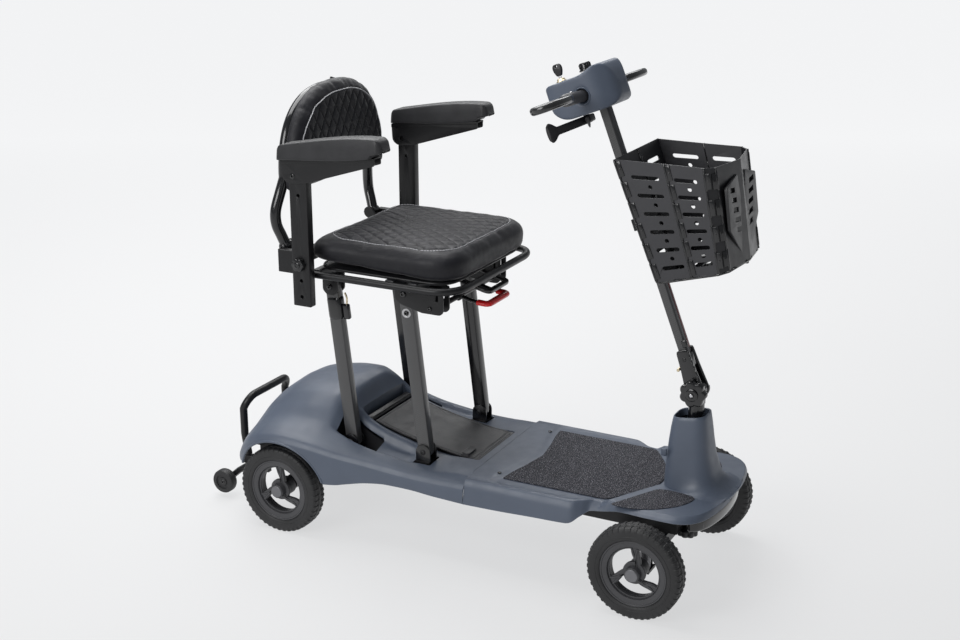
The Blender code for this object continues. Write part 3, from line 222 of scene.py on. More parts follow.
def capsule(centre, length, height, steps=5):
    """Outline of a slot with round ends."""
    r, reach = height / 2, (length - height) / 2
    return (arc((centre[0] + reach, centre[1]), r, -90, 90, steps)
            + arc((centre[0] - reach, centre[1]), r, 90, 270, steps))


def circle(centre, radius, steps=20):
    return arc(centre, radius, 0, 360, steps)[:-1]


# ---- meshes -------------------------------------------------------------------------------------
def mesh_of(points, faces):
    mesh = bpy.data.meshes.new("shape")
    mesh.from_pydata([tuple(p) for p in points], [], faces)
    return mesh


def cleaned(mesh, weld=1e-5):
    """Weld loose caps and point every face outwards."""
    bm = bmesh.new()
    bm.from_mesh(mesh)
    bmesh.ops.remove_doubles(bm, verts=bm.verts, dist=weld)
    bmesh.ops.recalc_face_normals(bm, faces=bm.faces)
    bm.to_mesh(mesh)
    bm.free()
    return mesh


def grid(rows, closed_rows=False, closed_ring=False, caps=False):
    """A surface through rows of points."""
    count, height = len(rows[0]), len(rows)
    faces = []
    for v in range(height if closed_ring else height - 1):
        for u in range(count if closed_rows else count - 1):
            right, up = (u + 1) % count, (v + 1) % height
            faces.append((v * count + u, v * count + right, up * count + right, up * count + u))
    if caps:
        faces.append(tuple(reversed(range(count))))
        faces.append(tuple((height - 1) * count + i for i in range(count)))
    return mesh_of([p for row in rows for p in row], faces)


def loft(rings):
    return cleaned(grid(rings, closed_rows=True, caps=True))


def joined(*meshes):
    """One mesh of several."""
    points, faces = [], []
    for mesh in meshes:
        start = len(points)
        points += [v.co.copy() for v in mesh.vertices]
        faces += [tuple(start + i for i in p.vertices) for p in mesh.polygons]
    return mesh_of(points, faces)


def linked(name, data):
    """A new object in the scene."""
    obj = bpy.data.objects.new(name, data)
    bpy.context.scene.collection.objects.link(obj)
    return obj


def evaluated(obj):
    """The final mesh of an object, which is then removed."""
    bpy.context.view_layer.update()
    graph = bpy.context.evaluated_depsgraph_get()
    mesh = bpy.data.meshes.new_from_object(obj.evaluated_get(graph))
    bpy.data.objects.remove(obj)
    return mesh


def modified(mesh, *modifiers):
    """The mesh after modifiers, each given as (type, settings)."""
    obj = linked("work", mesh)
    for kind, settings in modifiers:
        modifier = obj.modifiers.new(kind, kind)
        for key, value in settings.items():
            setattr(modifier, key, value)
    return evaluated(obj)


def bevel(width, segments=3, angle=40):
    return ("BEVEL", {"width": width, "segments": segments, "limit_method": "ANGLE",
                      "angle_limit": math.radians(angle)})


def boolean(operation, mesh, *tools, solver="EXACT"):
    """Boolean of a mesh with tool meshes that don't touch each other."""
    helper = linked("tool", joined(*tools))
    result = modified(mesh, ("BOOLEAN", {"operation": operation, "object": helper, "solver": solver}))
    bpy.data.objects.remove(helper)
    return result


def carved(mesh, *tools, solver="EXACT"):
    return boolean("DIFFERENCE", mesh, *tools, solver=solver)


def frame_of(direction):
    """Rotation whose Z axis lies along the direction."""
    return Vector(direction).to_track_quat("Z", "Y").to_matrix().to_4x4()


def block(size, centre, width=0.001, turn=None, segments=3):
    """A block with rounded edges."""
    bm = bmesh.new()
    bmesh.ops.create_cube(bm, size=1.0, matrix=Matrix.Diagonal((*size, 1.0)))
    mesh = bpy.data.meshes.new("block")
    bm.to_mesh(mesh)
    bm.free()
    mesh = modified(mesh, bevel(width, segments)) if width else mesh
    mesh.transform(Matrix.Translation(centre) @ (turn or Matrix()))
    return mesh


def lathe(profile, origin, direction, steps=48):
    """A turned shape from (radius, distance along the direction)."""
    rows = [[(r * math.cos(a), r * math.sin(a), z) for r, z in profile] for a in turns(steps)]
    mesh = cleaned(grid(rows, closed_ring=True), 2e-6)
    mesh.transform(Matrix.Translation(origin) @ frame_of(direction))
    return mesh


def drum(radius, depth, origin, direction, steps=48):
    """A plain cylinder, for cutting."""
    return lathe([(0.0, 0.0), (radius, 0.0), (radius, depth), (0.0, depth)], origin, direction, steps)


def rod(radius, start, end, width=0.0006, steps=32):
    """A round bar with slightly rounded rims."""
    start, axis = Vector(start), Vector(end) - Vector(start)
    length = axis.length
    profile = [(0.0, 0.0), (radius - width, 0.0), (radius - 0.3 * width, 0.3 * width), (radius, width),
               (radius, length - width), (radius - 0.3 * width, length - 0.3 * width),
               (radius - width, length), (0.0, length)]
    return lathe(profile, start, axis, steps)


def sweep(path, section, closed=False, up=(0, 0, 1)):
    """A section of (side, up) points carried along a path without twisting."""
    path = [Vector(p) for p in path]
    count = len(path)
    normal = Vector(up)
    rings = []
    for i, point in enumerate(path):
        before = path[i - 1] if closed or i > 0 else point
        after = path[(i + 1) % count] if closed or i < count - 1 else point
        tangent = (after - before).normalized()
        normal = (normal - tangent * normal.dot(tangent)).normalized()
        side = tangent.cross(normal)
        rings.append([point + side * a + normal * b for a, b in section])
    return cleaned(grid(rings, closed_rows=True, closed_ring=closed, caps=not closed))


def tube(path, radius, closed=False, sides=20, up=(0, 0, 1)):
    return sweep(path, circle((0, 0), radius, sides), closed, up)


def plate(outline, thickness, holes=(), width=0.0006, axis="Z", centre=0.0):
    """A flat sheet with round-edged outline and holes; on axis X the outline is (y, z)."""
    curve = bpy.data.curves.new("plate", "CURVE")
    curve.dimensions = "2D"
    curve.fill_mode = "BOTH"
    curve.extrude = max(0.0, thickness / 2 - width)
    curve.bevel_depth = width
    curve.bevel_resolution = 1
    curve.offset = -width
    for i, line in enumerate((outline, *holes)):
        area = sum(a[0] * b[1] - b[0] * a[1] for a, b in zip(line, list(line[1:]) + [line[0]]))
        ordered = line if (area > 0) == (i == 0) else line[::-1]
        spline = curve.splines.new("POLY")
        spline.points.add(len(ordered) - 1)
        for target, point in zip(spline.points, ordered):
            target.co = (point[0], point[1], 0.0, 1.0)
        spline.use_cyclic_u = True
    mesh = evaluated(linked("plate", curve))
    swap = Matrix(((0, 0, 1, 0), (1, 0, 0, 0), (0, 1, 0, 0), (0, 0, 0, 1)))
    shift = Matrix.Translation((0, 0, centre))
    mesh.transform(swap @ shift if axis == "X" else shift)
    return cleaned(mesh, 5e-6)


def surface_of(mesh):
    return BVHTree.FromPolygons([v.co for v in mesh.vertices], [tuple(p.vertices) for p in mesh.polygons])


def moved(mesh, matrix):
    copy = mesh.copy()
    copy.transform(matrix)
    return copy


def screw(centre, direction, radius, height=None):
    """A button-head screw with a hexagon socket."""
    height = height or radius * 0.6
    profile = [(0.0, 0.0), (radius, 0.0), (radius, height * 0.35), (radius * 0.86, height * 0.8),
               (radius * 0.6, height), (0.0, height)]
    head = lathe(profile, (0, 0, 0), (0, 0, 1), 24)
    socket = lathe([(0.0, height * 0.35), (radius * 0.42, height * 0.35), (radius * 0.42, height * 2),
                    (0.0, height * 2)], (0, 0, 0), (0, 0, 1), 6)
    mesh = carved(head, socket)
    mesh.transform(Matrix.Translation(centre) @ frame_of(direction))
    return mesh


def on_tiller(along, forward=0.0, x=0.0):
    return TILT_AXIS + TILLER_UP * along + TILLER_FORWARD * forward + Vector((x, 0.0, 0.0))


TILLER_TURN = Matrix(((1, 0, 0, 0), (0, -TILLER_FORWARD.y, TILLER_UP.y, 0),
                      (0, -TILLER_FORWARD.z, TILLER_UP.z, 0), (0, 0, 0, 1)))


def tiller_block(size, along, forward, x=0.0, width=0.001):
    return block(size, on_tiller(along, forward, x), width, TILLER_TURN)


def add(name, mesh, body, finish, replaces=(), sharp=38):
    """Make the mesh a piece of a body, in the frame's coordinates."""
    material, slot = FINISHES[finish]
    mesh.transform(Matrix.Translation(SHIFT))
    mesh.name = name
    mesh.materials.clear()
    mesh.materials.append(material)
    mesh.shade_smooth()
    mesh.set_sharp_from_angle(angle=math.radians(sharp))
    obj = linked(name, mesh)
    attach(obj, body)
    if replaces:
        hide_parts(*replaces)
    return obj


# ---- materials ----------------------------------------------------------------------------------
def add_node(tree, kind, **inputs):
    node = tree.nodes.new("ShaderNode" + kind)
    for key, value in inputs.items():
        node.inputs[key].default_value = value
    return node


def noise_at(tree, scale, detail=3.0):
    """Noise in the piece's own metres."""
    place = tree.nodes.get("place") or add_node(tree, "TexCoord")
    place.name = "place"
    noise = add_node(tree, "TexNoise", Scale=scale, Detail=detail)
    tree.links.new(place.outputs["Object"], noise.inputs["Vector"])
    return noise.outputs["Fac"]


def spread(tree, value, low, high, start=0.3, end=0.7):
    """Map a value that varies between start and end onto low to high."""
    node = add_node(tree, "MapRange")
    tree.links.new(value, node.inputs["Value"])
    for key, number in (("From Min", start), ("From Max", end), ("To Min", low), ("To Max", high)):
        node.inputs[key].default_value = number
    return node.outputs["Result"]


def tinted(tree, fac, dark, light):
    node = add_node(tree, "Mix")
    node.data_type = "RGBA"
    tree.links.new(fac, node.inputs[0])
    node.inputs[6].default_value = (*dark, 1.0)
    node.inputs[7].default_value = (*light, 1.0)
    return node.outputs[2]


def bump_chain(tree, shader, bumps):
    """Bumps of (height output, strength, distance) on one another."""
    normal = None
    for height, strength, distance in bumps:
        bump = add_node(tree, "Bump", Strength=strength, Distance=distance)
        tree.links.new(height, bump.inputs["Height"])
        if normal is not None:
            tree.links.new(normal, bump.inputs["Normal"])
        normal = bump.outputs["Normal"]
    if normal is not None:
        tree.links.new(normal, shader.inputs["Normal"])


def new_material(name, metallic=0.0, coat=0.0, specular=0.5):
    material = bpy.data.materials.new(name)
    material.use_nodes = True
    shader = material.node_tree.nodes["Principled BSDF"]
    shader.inputs["Metallic"].default_value = metallic
    shader.inputs["Coat Weight"].default_value = coat
    shader.inputs["Coat Roughness"].default_value = 0.12
    shader.inputs["Specular IOR Level"].default_value = specular
    return material, material.node_tree, shader


def plain(name, colour, roughness, grain=(900.0, 0.12), patches=0.10, **values):
    """Moulded or painted surface: fine grain, patchy colour and gloss."""
    material, tree, shader = new_material(name, **values)
    dark = [c * (1 - patches) for c in colour]
    light = [c * (1 + patches) for c in colour]
    tree.links.new(tinted(tree, spread(tree, noise_at(tree, 14.0), 0, 1), dark, light),
                   shader.inputs["Base Color"])
    tree.links.new(spread(tree, noise_at(tree, 45.0, 5.0), roughness - 0.05, roughness + 0.06),
                   shader.inputs["Roughness"])
    bump_chain(tree, shader, ((noise_at(tree, grain[0], 2.0), grain[1], 0.0004),
                              (noise_at(tree, 60.0), 0.04, 0.002)))
    return material


def speckled(name, colour, fleck, scale, roughness, amount=0.62, depth=0.5):
    """Gritty sheet: pale flecks on a dark ground, with a rough bump."""
    material, tree, shader = new_material(name, specular=0.3)
    fine = noise_at(tree, scale, 2.0)
    flecks = spread(tree, fine, 0, 1, amount, amount + 0.08)
    tree.links.new(tinted(tree, flecks, colour, fleck), shader.inputs["Base Color"])
    shader.inputs["Roughness"].default_value = roughness
    bump_chain(tree, shader, ((fine, depth, 0.0012), (noise_at(tree, scale * 0.35), 0.2, 0.002)))
    return material


def woven(name, dark, light, cell, roughness, coat=0.5):
    """Twill weave under a clear coat, for the flat tubes."""
    material, tree, shader = new_material(name, coat=coat)
    place = add_node(tree, "TexCoord")
    turn = add_node(tree, "Mapping", Rotation=(math.radians(35), math.radians(20), math.radians(45)))
    tree.links.new(place.outputs["Object"], turn.inputs["Vector"])
    checks = add_node(tree, "TexChecker", Scale=1 / cell)
    tree.links.new(turn.outputs["Vector"], checks.inputs["Vector"])
    tree.links.new(tinted(tree, checks.outputs["Fac"], dark, light), shader.inputs["Base Color"])
    tree.links.new(spread(tree, noise_at(tree, 35.0), roughness - 0.05, roughness + 0.08),
                   shader.inputs["Roughness"])
    bump_chain(tree, shader, ((checks.outputs["Fac"], 0.08, 0.0002),
                              (noise_at(tree, 900.0, 2.0), 0.10, 0.0004)))
    return material


def leather(name, colour, roughness):
    """Vinyl upholstery: pebbled grain, faint sheen and rubbed patches."""
    material, tree, shader = new_material(name, specular=0.32)
    place = add_node(tree, "TexCoord")
    cells = add_node(tree, "TexVoronoi", Scale=720.0)
    tree.links.new(place.outputs["Object"], cells.inputs["Vector"])
    tree.links.new(tinted(tree, spread(tree, noise_at(tree, 22.0, 5.0), 0, 1),
                          [c * 0.8 for c in colour], [c * 1.25 for c in colour]),
                   shader.inputs["Base Color"])
    tree.links.new(spread(tree, noise_at(tree, 70.0, 6.0), roughness - 0.06, roughness + 0.08),
                   shader.inputs["Roughness"])
    shader.inputs["Sheen Weight"].default_value = 0.12
    shader.inputs["Sheen Roughness"].default_value = 0.4
    bump_chain(tree, shader, ((cells.outputs["Distance"], 0.22, 0.0005),
                              (noise_at(tree, 160.0, 4.0), 0.10, 0.001)))
    return material


def make_finishes():
    """Each finish with the record's material slot that it belongs to."""
    slate = (0.078, 0.096, 0.132)
    return {
        "slate": (plain("slate_plastic", slate, 0.42, (1400.0, 0.10), 0.05), "cover_slate"),
        "coat": (plain("powder_coat", (0.007, 0.007, 0.008), 0.36, (1500.0, 0.22), specular=0.38),
                 "frame_black"),
        "gloss": (plain("gloss_black", (0.006, 0.006, 0.007), 0.15, (300.0, 0.04), coat=0.4),
                  "frame_black"),
        "weave": (woven("woven_tube", (0.030, 0.030, 0.031), (0.060, 0.060, 0.062), 0.0009, 0.34),
                  "frame_black"),
        "satin": (plain("satin_black", (0.012, 0.012, 0.014), 0.36, (1200.0, 0.15)), "trim_black"),
        "moulding": (plain("moulded_grey", (0.046, 0.046, 0.050), 0.45, (1100.0, 0.16)), "trim_black"),
        "lid": (plain("lid_grain", (0.031, 0.031, 0.034), 0.46, (900.0, 0.45)), "trim_black"),
        "panel": (plain("basket_panel", (0.032, 0.032, 0.036), 0.40, (1000.0, 0.25)), "trim_black"),
        "soft": (leather("grained_pad", (0.022, 0.022, 0.024), 0.40), "trim_black"),
        "loop": (plain("loop_gloss", (0.016, 0.016, 0.017), 0.22, (500.0, 0.10), coat=0.5),
                 "trim_black"),
        "mat": (speckled("grip_mat", (0.026, 0.026, 0.032), (0.30, 0.30, 0.33), 560.0, 0.88, 0.58),
                "mat_grip"),
        "rubber": (plain("rubber", (0.014, 0.014, 0.015), 0.55, (700.0, 0.30), 0.25), "tyre_black"),
        "vinyl": (leather("vinyl", (0.0070, 0.0070, 0.0100), 0.50), "upholstery"),
        "thread": (plain("thread", (0.48, 0.48, 0.50), 0.65, (3000.0, 0.5)), "upholstery"),
        "steel": (plain("steel", (0.55, 0.55, 0.56), 0.28, (800.0, 0.10), metallic=1.0),
                  "frame_black"),
        "brass": (plain("brass", (0.70, 0.60, 0.42), 0.28, (800.0, 0.08), metallic=1.0),
                  "frame_black"),
        "alloy": (plain("grey_alloy", (0.17, 0.17, 0.18), 0.42, (1200.0, 0.15), metallic=0.6),
                  "frame_black"),
        "red": (plain("lever_red", (0.66, 0.012, 0.014), 0.28, (900.0, 0.06), 0.05, coat=0.3),
                "lever_red"),
        "stripe": (plain("dark_red", (0.10, 0.004, 0.006), 0.35, (900.0, 0.08)), "frame_black"),
    }


FINISHES = make_finishes()


# ---- covers -------------------------------------------------------------------------------------
COWL_FRACTIONS = (0.0, 0.24, 0.44, 0.58, 0.72, 0.88, 0.965, 1.0)
COWL_STATIONS = (  # y, half-width, bottom, then the height at each fraction of the half-width
    (-0.0247, 0.1950, 0.1515, (0.203, 0.203, 0.203, 0.203, 0.203, 0.2005, 0.194, 0.184)),
    (0.0500, 0.1950, 0.1540, (0.205, 0.205, 0.205, 0.204, 0.203, 0.2000, 0.192, 0.182)),
    (0.1050, 0.1960, 0.1570, (0.212, 0.212, 0.211, 0.206, 0.2045, 0.2005, 0.193, 0.182)),
    (0.1600, 0.1980, 0.1570, (0.223, 0.223, 0.222, 0.214, 0.211, 0.2050, 0.197, 0.185)),
    (0.2100, 0.2010, 0.1520, (0.236, 0.236, 0.234, 0.225, 0.218, 0.2100, 0.201, 0.190)),
    (0.2600, 0.2080, 0.1420, (0.257, 0.257, 0.254, 0.244, 0.229, 0.2160, 0.207, 0.196)),
    (0.2850, 0.2130, 0.1370, (0.280, 0.279, 0.275, 0.260, 0.237, 0.2200, 0.211, 0.200)),
    (0.3150, 0.2180, 0.1350, (0.313, 0.311, 0.297, 0.272, 0.246, 0.2260, 0.217, 0.206)),
    (0.3450, 0.2230, 0.1350, (0.3190, 0.317, 0.306, 0.283, 0.254, 0.2320, 0.223, 0.212)),
    (0.3850, 0.2280, 0.1350, (0.3160, 0.313, 0.304, 0.284, 0.256, 0.2380, 0.229, 0.217)),
    (0.4250, 0.2300, 0.1350, (0.3115, 0.308, 0.298, 0.278, 0.254, 0.2410, 0.231, 0.219)),
    (0.4640, 0.2290, 0.1400, (0.3040, 0.300, 0.288, 0.268, 0.248, 0.2370, 0.227, 0.215)),
    (0.5000, 0.2220, 0.1450, (0.2830, 0.279, 0.267, 0.250, 0.235, 0.2230, 0.213, 0.201)),
    (0.5300, 0.2080, 0.1420, (0.2550, 0.252, 0.242, 0.228, 0.214, 0.2010, 0.190, 0.180)),
    (0.5550, 0.1860, 0.1330, (0.2200, 0.217, 0.208, 0.197, 0.185, 0.1725, 0.162, 0.154)),
    (0.5750, 0.1580, 0.1270, (0.178, 0.176, 0.171, 0.164, 0.156, 0.1470, 0.141, 0.136)),
    (0.5880, 0.1300, 0.1230, (0.145, 0.144, 0.141, 0.138, 0.134, 0.1300, 0.127, 0.125)),
)
COWL_YS = [station[0] for station in COWL_STATIONS]
BAY_HALF = 0.0905                # battery bay in the cowl
BAY_REAR = 0.2840
LEG_SLOTS = ((0.0766, 0.1206), (0.2150, 0.3120))
SLOT_HALF = 0.023
SLOT_X = LEG_X + 0.0010
WHEEL_ARCH_RADIUS = 0.117
PLATEAU = 0.0030                 # step of the deck behind the mat
COVER_THICKNESS = 0.003


def cowl_half(y):
    return monotone(COWL_YS, [s[1] for s in COWL_STATIONS], y)


def cowl_height(x, y):
    """Height of the cowl's top, with the channel that runs forward of each rear leg."""
    half = cowl_half(y)
    across = [monotone(COWL_YS, [s[3][k] for s in COWL_STATIONS], y)
              for k in range(len(COWL_FRACTIONS))]
    z = monotone(COWL_FRACTIONS, across, min(1.0, abs(x) / half))
    side = ramp(abs(x), 0.104, 0.114) * (1 - ramp(abs(x), 0.150, 0.164))
    along = ramp(y, 0.100, 0.150) * (1 - ramp(y, 0.300, 0.330))
    ridge = math.exp(-((abs(x) - 0.100) / 0.007) ** 2) * ramp(y, 0.10, 0.20) * (1 - ramp(y, 0.27, 0.30))
    return z - 0.0125 * side * along + 0.0030 * ridge + PLATEAU * (1 - ramp(y, 0.0, 0.06)) * (
        1 - ramp(abs(x), 0.166, 0.180))


def cowl_row(y):
    half = cowl_half(y)
    bottom = monotone(COWL_YS, [s[2] for s in COWL_STATIONS], y)
    line = [(half * i / 64, cowl_height(half * i / 64, y)) for i in range(60)]
    line += [(half * t, cowl_height(half * t, y)) for t in (0.95, 0.965, 0.978, 0.988, 0.995, 1.0)]
    top = line[-1][1]
    for i in range(1, 15):
        t = i / 14
        bulge = 0.0016 * math.sin(math.pi * t)
        line.append((half + bulge + 0.003 * (1 - ramp(y, 0.05, 0.15)) * t, mix(top, bottom, t)))
    lip = line[-1]
    line += [(lip[0] - 0.0015, lip[1] - 0.0012), (lip[0] - 0.0045, lip[1] - 0.0012)]
    return both_sides([Vector((x, y, z)) for x, z in line])


def shell_of(rows):
    return modified(grid(rows), ("SOLIDIFY", {"thickness": COVER_THICKNESS, "offset": -1.0}))


def rounded_box(low, high, radius):
    """An upright block with round vertical edges, for cutting."""
    return plate(box_line(low, high, radius), high[2] - low[2], (), 0.0, "Z", (high[2] + low[2]) / 2)


def make_cowl():
    rows = [cowl_row(mix(COWL_YS[0], COWL_YS[-1], i / 150)) for i in range(151)]
    shell = shell_of(rows)
    tools, arches = [rounded_box((-BAY_HALF, -0.0085, 0.15), (BAY_HALF, BAY_REAR, 0.35), 0.006)], []
    for side, _ in SIDES:
        arches.append(drum(WHEEL_ARCH_RADIUS, 0.13, (side * 0.156, AXLE_Y, 0.100), (side, 0, 0), 96))
        x = side * SLOT_X
        for near, far in LEG_SLOTS:
            tools.append(rounded_box((x - SLOT_HALF, near, 0.19), (x + SLOT_HALF, far, 0.27), 0.004))
    shell = carved(carved(shell, *tools), *arches, solver="FAST")
    lips = [arch_lip(side) for side, _ in SIDES]
    add("rear_cowl_shell", joined(shell, *lips), "chassis", "slate", ["rear_cowl"])
    add("bay_liner", bay_liner(), "chassis", "slate")
    add("cowl_wells", joined(*[leg_well(side, span) for side, _ in SIDES
                               for span in LEG_SLOTS]),
        "chassis", "satin")


def arch_lip(side):
    """Rolled edge round a wheel arch."""
    path = []
    for i in range(49):
        a = math.radians(mix(19, 161, i / 48))
        y = AXLE_Y + WHEEL_ARCH_RADIUS * math.cos(a)
        z = WHEEL_RADIUS + WHEEL_ARCH_RADIUS * math.sin(a)
        half = cowl_half(y)
        path.append((side * (half - 0.0005), y, z))
    return tube(path, 0.0030, sides=12, up=(1, 0, 0))


def hung_wall(outline, foot, taper=1.0):
    """A wall that hangs from the cowl's surface down to a height."""
    top = [Vector((p.x, p.y, cowl_height(p.x, p.y) - 0.0008)) for p in outline]
    return grid([top, [Vector((p.x * taper, p.y, foot)) for p in outline]], closed_rows=True)


def bay_liner():
    """Walls that hang from the edge of the battery bay."""
    outline = box_line((-BAY_HALF, -0.0085), (BAY_HALF, BAY_REAR), 0.006)
    wall = hung_wall(divided(outline, 0.006), 0.182, 0.995)
    floor = plate(outline, 0.0015, (), 0.0, "Z", 0.1815)
    return joined(modified(wall, ("SOLIDIFY", {"thickness": 0.0015, "offset": 0.0})), floor)


def leg_well(side, span):
    """Walls of the opening that a leg stands in."""
    x = side * SLOT_X
    dense = divided(box_line((x - SLOT_HALF, span[0]), (x + SLOT_HALF, span[1]), 0.004), 0.005)
    return modified(hung_wall(dense, 0.176), ("SOLIDIFY", {"thickness": 0.0012}))


FLOOR_STATIONS = (  # y at the edge, forward sweep, rise, half-width, bottom, drop of the rim
    (-0.0253, 0.00, 0.000, 0.1985, 0.1515, 0.0110),
    (-0.1000, 0.00, 0.000, 0.1980, 0.1530, 0.0110),
    (-0.1800, 0.00, 0.000, 0.1970, 0.1560, 0.0110),
    (-0.2620, 0.00, 0.000, 0.1960, 0.1590, 0.0110),
    (-0.2860, 0.20, 0.000, 0.1850, 0.1740, 0.0090),
    (-0.3030, 0.40, 0.000, 0.1710, 0.1850, 0.0070),
    (-0.3170, 0.56, 0.000, 0.1690, 0.1868, 0.0065),
    (-0.3280, 0.56, 0.005, 0.1692, 0.1885, 0.0060),
    (-0.3390, 0.56, 0.010, 0.1700, 0.1910, 0.0060),
    (-0.3650, 0.50, 0.010, 0.1765, 0.1985, 0.0055),
    (-0.3950, 0.35, 0.010, 0.1840, 0.2025, 0.0040),
    (-0.4250, 0.22, 0.010, 0.1868, 0.2030, 0.0040),
    (-0.4550, 0.10, 0.010, 0.1872, 0.2030, 0.0040),
    (-0.4820, 0.00, 0.010, 0.1860, 0.2025, 0.0040),
    (-0.5040, 0.00, 0.010, 0.1780, 0.2015, 0.0040),
    (-0.5220, 0.00, 0.010, 0.1620, 0.2005, 0.0040),
    (-0.5350, 0.00, 0.010, 0.1380, 0.2000, 0.0040),
    (-0.5440, 0.00, 0.010, 0.1030, 0.2000, 0.0040),
    (-0.5490, 0.00, 0.010, 0.0640, 0.2000, 0.0040),
    (-0.5510, 0.00, 0.010, 0.0280, 0.2000, 0.0040),
)
SWEEP_HALF = 0.165
WALL_INSET = 0.014
MAT_REAR = ((0.0, -0.1185), (0.060, -0.1090), (0.110, -0.0985), (0.146, -0.0940))
MAT_FRONT = ((0.1440, -0.3210), (0.1380, -0.3320), (0.0900, -0.3660), (0.0420, -0.3930),
             (0.0280, -0.3980))


def mat_rear_y(x):
    """The S-curved rear edge of the mat."""
    return through(MAT_REAR, abs(x))


def floor_row(step):
    """One line across the floor shell at a place between two stations."""
    i = min(int(step), len(FLOOR_STATIONS) - 2)
    keys = list(range(len(FLOOR_STATIONS)))
    y, sweep_by, rise, half, bottom, drop = (
        monotone(keys[max(0, i - 2):i + 4], [s[k] for s in FLOOR_STATIONS][max(0, i - 2):i + 4], step)
        for k in range(6))
    inner, top = half - WALL_INSET, DECK_Z + rise
    line = [(inner * k / 30, top) for k in range(30)]
    edge = flowing(((inner * 29 / 30, top), (inner, top - 0.10 * drop),
                    (inner + 0.42 * WALL_INSET, top - drop),
                    (inner + 0.66 * WALL_INSET, mix(top - drop, bottom, 0.35)), (half, bottom)), 6)
    line += [(p[0], p[1]) for p in edge]
    line += [(half - 0.0012, bottom - 0.0010), (half - 0.0040, bottom - 0.0010)]
    row = []
    for x, z in line:
        py = y - sweep_by * max(0.0, SWEEP_HALF - x)
        lift = PLATEAU * ramp(py, mat_rear_y(x) + 0.006, mat_rear_y(x) + 0.022) * (
            1 - ramp(x, 0.166, 0.180))
        ridge = 0.0014 * math.exp(-((x - inner + 0.006) / 0.0045) ** 2) * (1 - ramp(-py, 0.30, 0.34))
        row.append(Vector((x, py, z + lift + ridge)))
    return both_sides(row)


def make_floor():
    last = len(FLOOR_STATIONS) - 1
    steps = [i / 12 for i in range(0, 36)] + [3 + i / 7 for i in range(0, (last - 3) * 7 + 1)]
    shell = shell_of([floor_row(step) for step in reversed(steps)])
    hole = drum(0.035, 0.07, (0, STEER_Y, 0.17), (0, 0, 1))
    nose = mirrored([(0.0280, -0.5510), (0.0280, -0.5485)])
    cap = plate(nose, 0.012, (), 0.0005, "Z", 0.2065)
    add("floor_cover", joined(carved(shell, hole), cap), "chassis", "slate", ["floor_shell"])
    screws = [screw((side * 0.128, -0.0770, DECK_Z + PLATEAU), (0, 0, 1), 0.0042, 0.0016)
              for side, _ in SIDES]
    add("deck_screws", joined(*screws), "chassis", "gloss")


def make_mats():
    half = [Vector(p) for p in flowing(MAT_REAR, 6)] + [Vector(p) for p in rounded(MAT_FRONT, 0.008, False)]
    mat = plate(rounded(both_sides(half), 0.004, steps=2), 0.0024, (), 0.0007, "Z", DECK_Z + 0.0015)
    add("deck_mat", mat, "chassis", "mat", ["floor_mat"])
    patch = ((-0.1820, -0.3480), (-0.1440, -0.3700), (-0.0690, -0.4100), (-0.0640, -0.4280),
             (-0.0660, -0.4650), (-0.0740, -0.4960), (-0.1050, -0.4900), (-0.1340, -0.4720),
             (-0.1640, -0.4380), (-0.1800, -0.4000))
    sheets = []
    for side, _ in SIDES:
        line = rounded([(-side * x, y) for x, y in patch], 0.014)
        sheets.append(plate(line, 0.0016, (), 0.0005, "Z", DECK_Z + 0.0107))
    add("apron_grip_patches", joined(*sheets), "chassis", "mat")


SHROUD_LEVELS = (  # height, rear y, front y, half-width, outward flare of the front
    (0.2120, -0.4137, -0.5270, 0.0580, 0.0290), (0.2138, -0.4137, -0.5268, 0.0579, 0.0210),
    (0.2170, -0.4138, -0.5250, 0.0572, 0.0135), (0.2230, -0.4140, -0.5220, 0.0562, 0.0065),
    (0.2330, -0.4144, -0.5160, 0.0543, 0.0015), (0.2500, -0.4149, -0.5110, 0.0520, 0.0),
    (0.2750, -0.4165, -0.5030, 0.0470, 0.0), (0.3050, -0.4190, -0.4975, 0.0425, 0.0),
    (0.3300, -0.4215, -0.4935, 0.0385, 0.0), (0.3470, -0.4240, -0.4905, 0.0355, 0.0),
    (0.3535, -0.4254, -0.4893, 0.0342, 0.0), (0.3550, -0.4268, -0.4880, 0.0328, 0.0),
    (0.3540, -0.4284, -0.4864, 0.0312, 0.0), (0.3400, -0.4292, -0.4856, 0.0305, 0.0),
)


def shroud_ring(level):
    z, rear, front, half, flare = level
    z += 0.0110 * ramp(z, 0.240, 0.352)
    rear += 0.0065 * ramp(z, 0.170, 0.230)
    tilt = 0.0050 * ramp(z, 0.315, 0.352)
    centre, reach = (rear + front) / 2, (rear - front) / 2
    ring = []
    for a in turns(72):
        x, y = math.cos(a), math.sin(a)
        square = 1.0 / (abs(x) ** 3.4 + abs(y) ** 3.4) ** (1 / 3.4)
        out = flare * ramp(-y, -0.35, 0.55)
        ring.append(Vector(((half + out) * x * square, centre + (reach + out) * y * square,
                            z - tilt * y * square)))
    return ring


def make_shroud():
    add("column_cover", grid([shroud_ring(level) for level in SHROUD_LEVELS], closed_rows=True),
        "chassis", "slate", ["column_shroud"], 50)
    clip = block((0.006, 0.012, 0.016), (-0.0500, -0.4140, 0.2900), 0.002)
    add("shroud_clip", clip, "chassis", "slate")


# ---- battery ------------------------------------------------------------------------------------
LID_TOP = ((-0.0080, 0.2045), (0.0500, 0.2090), (0.1100, 0.2180), (0.1600, 0.2270),
           (0.2100, 0.2390), (0.2500, 0.2515))
LID_HALF = 0.0886
LATCH_AT = (-0.0640, 0.0290)


def lid_height(y):
    return through(LID_TOP, y)


